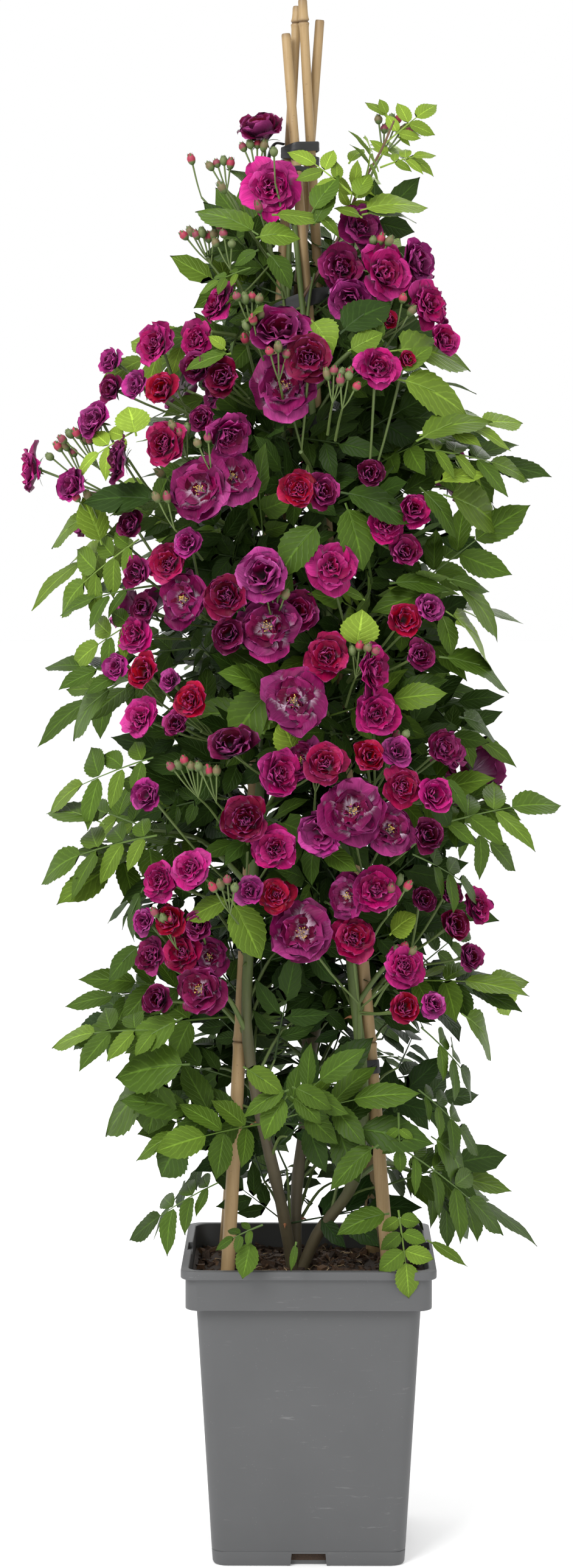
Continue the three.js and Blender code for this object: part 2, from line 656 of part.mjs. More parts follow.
// Crown, leading stems and thorns, grown together.
function mainStems(extra) {
  const crown = [CROWN_ROOT.foot, CROWN[2], CROWN_ROOT.top].map((z) => [CROWN[0], CROWN[1], z]);
  let stems = bar(crown, CROWN_ROOT.radii.map((radius) => radius + extra), LEADER_SIDES);
  for (const path of LEADER_PATHS) {
    stems = stems.add(bar(path, path.map(([, , z]) => leaderRadius(z) + extra), LEADER_SIDES));
  }
  for (const thorn of thorns(extra)) stems = stems.add(thorn);
  return stems;
}
function thorns(extra) {
  const made = [];
  LEADERS.forEach((leader, index) => {
    const cane = CANES[leader.cane];
    for (let z = leader.joins - THORN.below; z < leader.tip - THORN.above; z += THORN.spacing) {
      const at = onLeader(index, z);
      const axis = canePoint(cane, z);
      const away = unit([at[0] - axis[0], at[1] - axis[1], 0]);
      const turned = unit(add(away, mul([-away[1], away[0], 0], Math.sin(z))));
      const from = add(at, mul(turned, leaderRadius(z) / 2));
      const tip = add(at, add(mul(turned, leaderRadius(z) + THORN.length), [0, 0, -THORN.droop]));
      made.push(bar([from, tip], [THORN.radius + extra, THORN.point + extra], 3));
    }
  });
  return made;
}

// The outline that a band takes round some circles, grown by a clearance.
function bandOutline(circles, grow) {
  const points = [];
  for (const { x, y, radius } of circles) {
    for (let k = 0; k < BAND_STEPS; k += 1) {
      const angle = (k * 2 * Math.PI) / BAND_STEPS;
      const reach = (radius + grow) / Math.cos(Math.PI / BAND_STEPS);
      points.push([x + reach * Math.cos(angle), y + reach * Math.sin(angle)]);
    }
  }
  points.sort((a, b) => a[0] - b[0] || a[1] - b[1]);
  const turn = (o, a, b) => (a[0] - o[0]) * (b[1] - o[1]) - (a[1] - o[1]) * (b[0] - o[0]);
  const half = (list) => {
    const hull = [];
    for (const point of list) {
      while (hull.length > 1 && turn(hull.at(-2), hull.at(-1), point) <= STRAIGHT) {
        hull.pop();
      }
      hull.push(point);
    }
    hull.pop();
    return hull;
  };
  return [...half(points), ...half([...points].reverse())].map(([x, y]) => new THREE.Vector2(x, y));
}

// A flat band round circles at a height, leaning along with them.
function band(circles, z, size, lean) {
  const shape = new THREE.Shape(bandOutline(circles, size.clear + size.thickness));
  shape.holes.push(new THREE.Path(bandOutline(circles, size.clear)));
  const ring = new THREE.ExtrudeGeometry(shape, { depth: size.height, bevelEnabled: false });
  ring.translate(0, 0, z - size.height / 2);
  return solid(
    shaped(ring, ([x, y, up]) => [x + lean[0] * (up - z), y + lean[1] * (up - z), up]),
  );
}
function tapeSolid({ leader, z }) {
  const cane = CANES[LEADERS[leader].cane];
  const axis = canePoint(cane, z);
  const stem = onLeader(leader, z);
  const lean = sub(canePoint(cane, z + 1), axis);
  const circles = [
    { x: axis[0], y: axis[1], radius: caneRadius(z) },
    { x: stem[0], y: stem[1], radius: leaderRadius(z) },
  ];
  return band(circles, z, TAPE, lean);
}
function strapSolid() {
  const circles = CANES.map((cane) => {
    const [x, y] = canePoint(cane, CROSSING);
    return { x, y, radius: caneRadius(CROSSING) };
  });
  const ring = band(circles, CROSSING, STRAP, [0, 0]);
  const left = Math.min(...circles.map(({ x, radius }) => x - radius)) - STRAP.clear - STRAP.thickness;
  const corner = [left, circles[0].y, CROSSING];
  const path = smooth(STRAP_END.points.map((point) => add(corner, point)), 2);
  return ring.add(bar(path, path.map(() => STRAP_END.thickness), 4, STRAP_END.width / STRAP_END.thickness));
}

// A direction from its turn to the right and its lift, in degrees.
function facing(turn, lift) {
  const flat = Math.cos(radians(lift));
  return [Math.sin(radians(turn)) * flat, -Math.cos(radians(turn)) * flat, Math.sin(radians(lift))];
}
const bearingOf = ([x, y]) => (Math.atan2(x, -y) * 180) / Math.PI;

const placedBlooms = [];
// The first of some places, tried in turn, where a bloom is clear of those already placed.
function clearPlace(radius, candidate) {
  let centre = candidate(0);
  for (let attempt = 1; attempt < BLOOM_ROOM.tries; attempt += 1) {
    const spot = centre;
    const room = (other) => BLOOM_ROOM.share * (other.radius + radius) + BLOOM_ROOM.gap;
    const crowded = placedBlooms.some((other) => length(sub(other.centre, spot)) < room(other));
    if (!crowded) break;
    centre = candidate(attempt);
  }
  placedBlooms.push({ centre, radius });
  return centre;
}
// Blooms of one spray, as centre, radius and the way each faces.
function frontBlooms({ blooms, reach }) {
  return blooms.map(([column, row, width, turn, lift]) => {
    let y = FRONT_DEPTH.guess;
    for (let pass = 0; pass < FRONT_DEPTH.passes; pass += 1) {
      const [x, , z] = seen(column, row, y);
      const half = halfWidths(z);
      const share = Math.min(Math.abs(x) / (x > 0 ? half.right : half.left), FRONT_DEPTH.widest);
      y = -DEPTH_SHARE * ((half.left + half.right) / 2) * Math.sqrt(1 - share * share) * reach;
    }
    const radius = ((width / 2) * (y + VIEW.distance)) / VIEW.focal;
    const centre = clearPlace(radius, (attempt) => seen(column, row, y + attempt * BLOOM_ROOM.step));
    const normal = facing(turn ?? bearingOf(centre) * BLOOM_FACE.turn, lift ?? BLOOM_FACE.lift);
    return { centre, radius, normal };
  });
}
function backBlooms({ bearing, z, blooms }, index) {
  const draw = seeded(SEED.back + index);
  return Array.from({ length: blooms }, (_, i) => {
    const turn = bearing + (i / (blooms - 1) - 0.5) * BACK_BLOOM.arc + (draw() - 0.5) * BACK_BLOOM.sway;
    const height = z + (draw() - 0.5) * 2 * BACK_BLOOM.spread;
    const reach = bushRadius(turn, height) * (BACK_BLOOM.reach - draw() * BACK_BLOOM.deeper);
    const radius = mix(BACK_BLOOM.least, BACK_BLOOM.most, draw());
    const centre = clearPlace(radius, (attempt) =>
      add(mul(outward(turn), reach - attempt * BLOOM_ROOM.step), [0, 0, height]),
    );
    const normal = facing(turn + (draw() - 0.5) * BACK_FACE.turn, BACK_FACE.lift + draw() * BACK_FACE.more);
    return { centre, radius, normal };
  });
}

// The directions across a bloom, and the angle at which its first petal starts.
function bloomFrame({ centre, radius, normal }) {
  const side = unit(cross(Math.abs(normal[2]) < 0.9 ? [0, 0, 1] : [1, 0, 0], normal));
  const sides = 2 * PETALS.find(({ under }) => radius < under).count;
  return { side, other: cross(normal, side), turn: centre[0] + centre[2], sides };
}

// The stems of a spray: one side shoot from its leader to a hub, and a stalk to each bloom and bud.
function sprayPlan(spray, blooms, seed) {
  const draw = seeded(seed);
  const middle = mul(
    blooms.reduce((sum, { centre }) => add(sum, centre), [0, 0, 0]),
    1 / blooms.length,
  );
  const hub = [middle[0] * LATERAL.inward, middle[1] * LATERAL.inward, middle[2] - LATERAL.lower];
  const from = onLeader(spray.leader, Math.max(hub[2] - LATERAL.rise, LATERAL.lowest));
  const bend = add(blend(from, hub, 0.5), [0, 0, LATERAL.bend]);
  const side = [from, bend, hub];
  const borne = blooms.map((bloom, i) => {
    const start = along(side, mix(STALK.first, STALK.last, i / blooms.length));
    return { ...bloom, start };
  });
  const out = unit([hub[0], hub[1], 0]);
  const buds = Array.from({ length: spray.buds ?? 0 }, (_, i) => {
    const ahead = mul(out, BUD_WAY.out + draw());
    const way = unit(add(ahead, [draw() - 0.5, draw() - 0.5, BUD_WAY.up + draw()]));
    const start = along(side, BUD.first - BUD.step * i);
    const neck = add(start, mul(way, BUD.reach * (1 + draw())));
    return [start, neck, add(neck, mul(way, BUD.length * BUD.widest)), add(neck, mul(way, BUD.length))];
  });
  return { side, buds, blooms: borne };
}

// A double bloom on its stalk, as one lathe: rings round the stalk, then its two layers of petals. A
// stalk ring is a triangle.
function bloomSolid(bloom, extra) {
  const { side, other, turn, sides } = bloomFrame(bloom);
  const { centre, normal, start } = bloom;
  const size = bloom.radius + extra;
  const neck = add(centre, mul(normal, CUP.neck * size));
  const way = unit(sub(neck, start));
  const stalkRing = (at, facingWay, radius, k) => {
    const first = unit(sub(side, mul(facingWay, dot(side, facingWay))));
    const second = cross(facingWay, first);
    const angle = (Math.floor((k * STALK.sides) / sides) * 2 * Math.PI) / STALK.sides + turn;
    return add(at, mul(add(mul(first, Math.cos(angle)), mul(second, Math.sin(angle))), radius));
  };
  const petalRing = (layer, k) => {
    const isNotch = k % 2 !== layer.odd;
    const r = layer.radius * (isNotch ? layer.notch : 1);
    const h = layer.height - (isNotch ? layer.dip : 0);
    const angle = (k * 2 * Math.PI) / sides + turn;
    const across = add(mul(side, r * Math.cos(angle)), mul(other, r * Math.sin(angle)));
    return add(centre, mul(add(across, mul(normal, h)), size));
  };
  const rows = [
    () => sub(start, mul(way, extra)),
    (k) => stalkRing(start, way, STALK.root + extra, k),
    (k) => stalkRing(neck, unit(add(way, normal)), STALK.tip + extra, k),
    (k) => petalRing(LAYERS[0], k),
    (k) => petalRing(LAYERS[1], k),
    () => add(centre, mul(normal, CUP.middle * size)),
  ];
  const profile = rows.map((_, j) => new THREE.Vector2(j === 0 || j === rows.length - 1 ? 0 : 1, j));
  const lathe = new THREE.LatheGeometry(profile, sides);
  return solid(
    shaped(lathe, (_, index) => rows[index % rows.length](Math.floor(index / rows.length) % sides)),
  );
}
const budRadii = (extra) => [STALK.root, STALK.tip, BUD.radius, BUD.point].map((radius) => radius + extra);

// One leaflet of a leaf, as its two widest points and its tip.
function leafletPoints(at, way, size, extra) {
  const across = [-way[1], way[0]];
  const point = (share, wide) => [
    at[0] + way[0] * size * share + across[0] * wide,
    at[1] + way[1] * size * share + across[1] * wide,
  ];
  const half = size * LEAF.slim + extra;
  return [point(LEAF.widest, half), point(1 + extra / size, 0), point(LEAF.widest, -half)];
}

// The outline of a leaf's leaflets, cut to the rib, as points along and across it.
function leafOutline({ size, pairs }, extra) {
  const rib = RIB.half + extra;
  const left = [[-extra, RIB.root + extra]];
  for (let i = pairs - 1; i >= 0; i -= 1) {
    const u = LEAFLETS.at[i] * size;
    const way = [Math.cos(LEAFLETS.angle), Math.sin(LEAFLETS.angle)];
    left.push([u - RIB.foot - extra, rib]);
    left.push(...leafletPoints([u, 0], way, LEAFLETS.lengths[i] * size, extra).slice(0, 2));
    left.push([u + RIB.foot + extra, rib]);
  }
  const neck = size * (1 - LEAF.terminal);
  const top = leafletPoints([neck, 0], [1, 0], LEAF.terminal * size, extra);
  const right = left.map(([u, v]) => [u, -v]).reverse();
  return [...left, ...top, ...right].reverse();
}

// The point of an arched leaf at lengths along, across and over it.
function leafPoint({ base, way, side, normal, size }, u, v, h) {
  const arch = (-LEAF_ARCH.along * u * u) / size - LEAF_ARCH.across * Math.abs(v);
  return add(add(base, mul(way, u)), add(mul(side, v), mul(normal, h + arch)));
}
function leafSolid(leaf, extra) {
  const shape = new THREE.Shape(leafOutline(leaf, extra).map(([u, v]) => new THREE.Vector2(u, v)));
  const depth = LEAF_THICKNESS + 2 * extra;
  const blade = new THREE.ExtrudeGeometry(shape, { depth, bevelEnabled: false });
  return solid(shaped(blade, ([u, v, h]) => leafPoint(leaf, u, v, h - depth / 2)));
}
function leafSamples(leaf) {
  const { size, pairs } = leaf;
  const spots = [...LEAF_SPOTS];
  for (let i = 0; i < pairs; i += 1) {
    for (const share of LEAFLET_SPOTS) {
      const v = Math.sin(LEAFLETS.angle) * LEAFLETS.lengths[i] * share;
      const u = LEAFLETS.at[i] + Math.cos(LEAFLETS.angle) * LEAFLETS.lengths[i] * share;
      spots.push([u, v], [u, -v]);
    }
  }
  return spots.map(([u, v]) => leafPoint(leaf, u * size, v * size, 0));
}

// Obstacles: balls round what is already there, which no leaf may touch.
const balls = [];
const addBalls = (path, radius, step) => {
  for (let i = 1; i < path.length; i += 1) {
    const count = Math.max(Math.ceil(length(sub(path[i], path[i - 1])) / step), 1);
    for (let k = 0; k < count; k += 1) balls.push({ at: blend(path[i - 1], path[i], k / count), radius });
  }
};
const touches = (points, radius) =>
  points.some((point) => balls.some((ball) => length(sub(point, ball.at)) < ball.radius + radius));

// Whether a leaf would lie in the pot, too low, or outside the bush.
function outside(points) {
  return points.some(([x, y, z]) => {
    const overPot = Math.abs(x) < POT_ROOM.half && Math.abs(y) < POT_ROOM.half && z < POT_ROOM.top;
    const reach = bushRadius(bearingOf([x, y]), z) * BUSH_ROOM.share + BUSH_ROOM.more;
    return overPot || z < POT_ROOM.low || Math.hypot(x, y) > reach;
  });
}

// The path of a leafy stem, from its leader out to its tip in one arch.
function leafyPath(stem) {
  const from = onLeader(stem.leader, stem.z);
  if (stem.points) {
    return smooth([from, ...stem.points.map(([column, row, y]) => seen(column, row, y))], 2);
  }
  const reach = bushRadius(stem.bearing, stem.tip) * LEAFY.reach;
  const tip = add(mul(outward(stem.bearing), reach), [0, 0, stem.tip]);
  const rise = length(sub(tip, from)) * LEAFY.arch;
  const bend = add(blend(from, tip, 0.5), [0, 0, rise]);
  return [from, bend, tip];
}

// The leaves of a stem, set in turn to its left and right: each takes the first of some drawn places
// that is clear. The young shoot stands out of the bush's outline, with leaves of its own lengths.
function leavesOf(stem, path, seed) {
  const draw = seeded(seed);
  const lengths = stem.lengths ?? LEAF_LENGTH;
  const leaves = [];
  for (let i = 0; i < stem.leaves; i += 1) {
    const share = mix(LEAFY.from, stem.last ?? 1, i / (stem.leaves - 1));
    const base = along(path, share);
    const ahead = unit(sub(along(path, share + STEM_LOOK.ahead), along(path, share - STEM_LOOK.behind)));
    const atTip = i === stem.leaves - 1;
    const sign = i % 2 === 0 ? 1 : -1;
    const level = unit(cross([0, 0, 1], ahead));
    for (let attempt = 0; attempt < LEAF_TRIES; attempt += 1) {
      const aside = draw();
      const spread = LEAF_WAY.side + aside * LEAF_WAY.sideMore;
      const turn = atTip ? (aside - 0.5) * LEAF_WAY.endSide : sign * spread;
      const onward = mul(ahead, LEAF_WAY.ahead + draw() * LEAF_WAY.aheadMore);
      const lift = [0, 0, LEAF_LIFT.up - draw() * LEAF_LIFT.down];
      const way = unit(add(add(onward, mul(level, turn)), lift));
      const out = unit([base[0] + way[0], base[1] + way[1], 0]);
      const sway = (draw() - 0.5) * LEAF_FACE.sway;
      const front = [-out[1] * sway, out[0] * sway - LEAF_FACE.front, LEAF_FACE.up];
      const face = add(mul(out, LEAF_FACE.out + draw() * LEAF_FACE.outMore), front);
      const normal = unit(sub(face, mul(way, dot(face, way))));
      const size = mix(lengths.from, lengths.to, draw());
      const pairs = draw() < TWO_PAIRS ? 2 : 1;
      const leaf = { base, way, normal, side: cross(normal, way), size, pairs };
      const samples = leafSamples(leaf);
      const isFree = stem.lengths || !outside(samples);
      if (isFree && !touches(samples, LEAF_ROOM)) {
        samples.forEach((at) => balls.push({ at, radius: LEAF_ROOM }));
        leaves.push(leaf);
        break;
      }
    }
  }
  return leaves;
}

// The whole plan of the plant: sprays, the room that they and the poles take, then leafy stems.
const planned = (rows, name, bloomsOf) =>
  rows.map((spray, i) => ({ ...spray, blooms: bloomsOf(spray, i), name: `${name}_${i + 1}` }));
const sprays = [
  ...planned(FRONT_SPRAYS, "front_spray", frontBlooms),
  ...planned(BACK_SPRAYS, "back_spray", backBlooms),
].map((spray, i) => ({ ...spray, ...sprayPlan(spray, spray.blooms, SEED.spray + i) }));
for (const { blooms, side, buds } of sprays) {
  const stalks = blooms.map(({ start, centre }) => [start, centre]);
  blooms.forEach(({ centre, radius }) => balls.push({ at: centre, radius: radius * BLOOM_CORE }));
  [side, ...stalks, ...buds].forEach((path) => addBalls(path, STEM_ROOM.radius, STEM_ROOM.step));
}
LEADER_PATHS.forEach((path) => addBalls(path, LEADER_RADIUS.foot, POLE_STEP));
for (const cane of CANES) {
  addBalls([canePoint(cane, SOIL_TOP), canePoint(cane, cane.top)], CANE_RADIUS.foot, POLE_STEP);
}
const leafy = [
  ...LEAFY_STEMS.map((stem, i) => ({ ...stem, name: `leafy_stem_${i + 1}`, leaves: LEAFY.leaves })),
  YOUNG_SHOOT,
].map((stem) => ({ ...stem, path: leafyPath(stem) }));
leafy.forEach(({ path }) => addBalls(path.slice(1), STEM_ROOM.radius, STEM_ROOM.step));
const leafSets = leafy.map((stem, i) => leavesOf(stem, stem.path, SEED.leaf + i));

// The made things and the leading stems.
const caneRoom = CANES.map((cane) => caneSolid(cane, GAP));
const stemRoom = mainStems(GAP);
place("pot", potSolid(), "pot");
place("soil", soilSolid([...caneRoom, stemRoom]), "soil");
CANES.forEach((cane) => place(`cane_${cane.name}`, caneSolid(cane, 0), "bamboo"));
let stems = mainStems(0);
for (const room of caneRoom) stems = stems.subtract(room);
place("main_stems", stems, "stem");
place("top_tie", strapSolid(), "strap");
TAPES.forEach((tape, i) => place(`tape_${i + 1}`, tapeSolid(tape), "strap"));

// Side shoots: stems first, then blooms and leaves, each cut clear of what was placed before it.
const join = (solids) => solids.reduce((sum, next) => sum.add(next));
const shoots = [
  ...sprays.map((spray) => {
    const thin = (extra) =>
      join([
        bar(spray.side, tapered(spray.side, LATERAL.root, LATERAL.tip, extra), LATERAL.sides),
        ...spray.buds.map((path) => bar(path, budRadii(extra), STALK.sides)),
      ]);
    const soft = (extra) => join(spray.blooms.map((bloom) => bloomSolid(bloom, extra)));
    return { name: spray.name, finish: spray.kind, thin, soft };
  }),
  ...leafy.map((stem, i) => {
    const thin = (extra) => bar(stem.path, tapered(stem.path, LEAFY.root, LEAFY.tip, extra), LEAFY.sides);
    const soft = (extra) => join(leafSets[i].map((leaf) => leafSolid(leaf, extra)));
    return { name: stem.name, finish: stem.name === YOUNG_SHOOT.name ? "shoot" : "leaf", thin, soft };
  }),
];
const meet = (a, b) => {
  const p = a.boundingBox();
  const q = b.boundingBox();
  return [0, 1, 2].every((n) => p.min[n] < q.max[n] && q.min[n] < p.max[n]);
};
const without = (whole, rooms) =>
  rooms.reduce((rest, room) => (meet(rest, room) ? rest.subtract(room) : rest), whole);
const firm = [...caneRoom, stemRoom, strapSolid(), ...TAPES.map(tapeSolid)];
const thinRoom = shoots.map(({ thin }) => thin(GAP));
const softRoom = shoots.map(({ soft }) => soft(GAP));
shoots.forEach((shoot, i) => {
  const others = thinRoom.filter((_, j) => j !== i);
  const thin = without(shoot.thin(0), [...firm, ...thinRoom.slice(0, i)]);
  const soft = without(shoot.soft(0), [...firm, ...others, ...softRoom.slice(0, i)]);
  place(shoot.name, thin.add(soft), shoot.finish);
});

export default root;
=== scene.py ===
"""Potted climbing rose on bamboo canes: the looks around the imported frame.

The plan of the plant is worked out in millimetres, with the same rules and the same seeded draws as the
solids, so every bloom and leaf lies where its solid does. Meshes are written in metres.
"""

import logging
import math
from collections.abc import Callable, Sequence
from dataclasses import dataclass, field
from enum import Enum
from itertools import pairwise

import bmesh
import bpy
import numpy as np
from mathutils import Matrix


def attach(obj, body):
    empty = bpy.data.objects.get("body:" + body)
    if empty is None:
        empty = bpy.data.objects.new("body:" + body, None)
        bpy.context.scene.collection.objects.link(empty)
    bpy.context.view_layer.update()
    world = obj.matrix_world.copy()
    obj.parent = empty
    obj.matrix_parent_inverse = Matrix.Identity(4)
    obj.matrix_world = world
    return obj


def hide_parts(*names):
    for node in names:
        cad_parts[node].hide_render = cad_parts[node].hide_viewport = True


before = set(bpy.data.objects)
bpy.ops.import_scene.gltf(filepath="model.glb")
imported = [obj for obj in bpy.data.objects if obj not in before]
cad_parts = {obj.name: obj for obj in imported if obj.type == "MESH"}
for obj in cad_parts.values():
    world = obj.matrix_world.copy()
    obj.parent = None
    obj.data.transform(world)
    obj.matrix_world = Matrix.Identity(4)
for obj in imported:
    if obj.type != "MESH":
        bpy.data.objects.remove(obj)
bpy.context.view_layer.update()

LOG = logging.getLogger("rose")
MM = 0.001
TURN = 2 * math.pi

# Pot, soil and canes: the sizes of the solids.
POT_HEIGHT = 270.0
RIM_HALF = 112.5
LIP_HEIGHT = 8.0
COLLAR_HALF = 108.5
COLLAR_HEIGHT = 36.0
BODY_TOP_HALF = 99.0
BODY_FOOT_HALF = 85.5
WALL = 3.0
FLOOR = 3.5
CORNER_RADIUS = 13.0
SOIL_TOP = 247.0
CROSSING = 1250.0
CANE_FOOT = 165.0
CANE_RADIUS = (6.3, 4.3)
CANE_KNOT_SPACING = 300.0
KNOT_SWELL = 0.7


@dataclass(frozen=True)
class CaneRule:
    """Where a cane passes at the soil and at the crossing, and how tall it stands."""

    name: str
    soil: tuple[float, float]
    crossing: tuple[float, float]
    top: float


CANES = (
    CaneRule("front_left", (-73, -74), (-18, -3), 1380),
    CaneRule("front_right", (72, -74), (-12, -14), 1354),
    CaneRule("back_left", (-78, 74), (0, 12), 1368),
    CaneRule("back_right", (60, 74), (2, 3), 1384),
)


@dataclass(frozen=True)
class LeaderRule:
    """A leading stem: its cane, the side that it climbs, its free points, where it joins and ends."""

    cane: int
    side: float
    free: tuple[tuple[float, float, float], ...]
    joins: float
    tip: float


CROWN = (-12, -8, 236)
LEADERS = (
    LeaderRule(0, -50, (CROWN, (-22, -27, 300), (-32, -44, 350), (-46, -62, 415)), 485, 1180),
    LeaderRule(1, -130, (CROWN, (8, -20, 285), (40, -44, 338)), 420, 1185),
    LeaderRule(3, 225, (CROWN, (-11, -6, 320), (-3, 0, 390), (2, 6, 446), (17, 26, 510)), 600, 1120),
    LeaderRule(2, -45, ((-3, 0, 390), (0, 8, 446), (-17, 26, 520)), 630, 1085),
)
LEADER_RADIUS = (5.6, 2.4)
LEADER_THINNEST_AT = 1180.0
LEADER_STEP = 105.0
LEADER_CLEAR = 1.0
LEADER_SWAY = (0.35, 120.0)
TAPES = ((0, 552), (0, 905), (0, 1085), (1, 444), (1, 1012), (2, 792), (2, 1080), (3, 838))

# How the plant was looked at when its blooms were placed. Columns and rows count in steps of a plane
# FOCAL steps away, from a point in front of the pot, with the eye turned down and left.
DISTANCE = 3112.5
EYE_HEIGHT = 903.0
FOCAL = 5707.0
MIDDLE = (471.0, 1288.0)
IMAGE_HEIGHT = 2576
DOWN = 0.0684
LEFT = 0.00646

# Outline of the foliage: row, leftmost column and rightmost column.
OUTLINE = (
    (150, 480, 560), (250, 380, 620), (330, 330, 690), (440, 313, 700), (555, 175, 785), (640, 165, 850),
    (755, 60, 880), (880, 70, 848), (990, 72, 850), (1090, 75, 855), (1190, 80, 833), (1300, 60, 900),
    (1400, 55, 830), (1530, 150, 806), (1600, 130, 850), (1680, 100, 850), (1750, 150, 817),
    (1850, 150, 817), (1900, 190, 797), (2010, 200, 840),
)
DEPTH_SHARE = 0.88


class Hue(Enum):
    """Petal colours, as linear red, green and blue: outer petals, inner petals and the paler back."""

    MAGENTA = ((0.28, 0.003, 0.085), (0.18, 0.0006, 0.022), (0.42, 0.035, 0.21))
    PINK = ((0.35, 0.006, 0.13), (0.28, 0.001, 0.06), (0.52, 0.06, 0.28))
    VIOLET = ((0.16, 0.003, 0.062), (0.10, 0.0005, 0.014), (0.32, 0.045, 0.19))
    PURPLE = ((0.11, 0.002, 0.032), (0.08, 0.0003, 0.008), (0.26, 0.025, 0.13))
    DARK = ((0.06, 0.001, 0.018), (0.04, 0.0002, 0.004), (0.17, 0.015, 0.07))
    LILAC = ((0.29, 0.015, 0.15), (0.15, 0.002, 0.045), (0.42, 0.10, 0.30))
    CRIMSON = ((0.20, 0.001, 0.035), (0.15, 0.0002, 0.004), (0.30, 0.02, 0.09))
    RED = ((0.23, 0.0004, 0.014), (0.23, 0.0002, 0.003), (0.32, 0.015, 0.07))
    WINE = ((0.10, 0.0004, 0.015), (0.065, 0.0001, 0.002), (0.20, 0.010, 0.06))


@dataclass(frozen=True)
class Whorl:
    """A ring of petals: how many, their length and width over the bloom's radius, how steeply they
    leave the middle and end (degrees over the bloom's plane), how cupped and how ruffled they are."""

    count: int
    length: float
    width: float
    rise: float
    bend: float
    cup: float
    ruffle: float


class Form(Enum):
    """How far a bloom is open, as its whorls of petals."""

    ROSETTE = (
        Whorl(5, 1.14, 0.62, 40, -10, 0.5, 0.05), Whorl(6, 1.02, 0.56, 50, 4, 0.6, 0.05),
        Whorl(7, 0.90, 0.47, 60, 20, 0.9, 0.05), Whorl(7, 0.76, 0.40, 70, 40, 1.1, 0.05),
        Whorl(6, 0.64, 0.33, 79, 62, 1.4, 0.04), Whorl(5, 0.54, 0.25, 86, 84, 1.8, 0.03),
    )
    OPEN = (
        Whorl(5, 1.16, 0.72, 33, -16, 0.3, 0.08), Whorl(6, 1.02, 0.62, 42, -4, 0.4, 0.09),
        Whorl(6, 0.84, 0.52, 52, 8, 0.5, 0.09), Whorl(5, 0.64, 0.40, 62, 26, 0.8, 0.08),
        Whorl(4, 0.42, 0.24, 74, 50, 1.2, 0.05),
    )
    CUP = (
        Whorl(5, 1.14, 0.66, 56, 12, 0.8, 0.05), Whorl(6, 1.04, 0.58, 63, 32, 1.0, 0.05),
        Whorl(6, 0.95, 0.48, 71, 52, 1.2, 0.04), Whorl(5, 0.84, 0.38, 80, 74, 1.5, 0.03),
    )
    OPENING = (
        Whorl(5, 1.14, 0.66, 60, 34, 1.0, 0.04), Whorl(5, 1.05, 0.56, 70, 62, 1.3, 0.03),
        Whorl(4, 0.92, 0.42, 81, 86, 1.7, 0.02),
    )


@dataclass(frozen=True)
class BloomRule:
    """A bloom of the front: column, row, width, colour, form, and where it faces if that isn't straight
    out of the bush (turn to the right and lift, in degrees)."""

    column: float
    row: float
    width: float
    hue: Hue
    form: Form
    turn: float | None = None
    lift: float | None = None


@dataclass(frozen=True)
class SprayRule:
    """A spray of the front: its slot's petals, leading stem, reach, number of buds, and blooms."""

    slot: str
    leader: int
    reach: float
    buds: int
    blooms: tuple[BloomRule, ...]


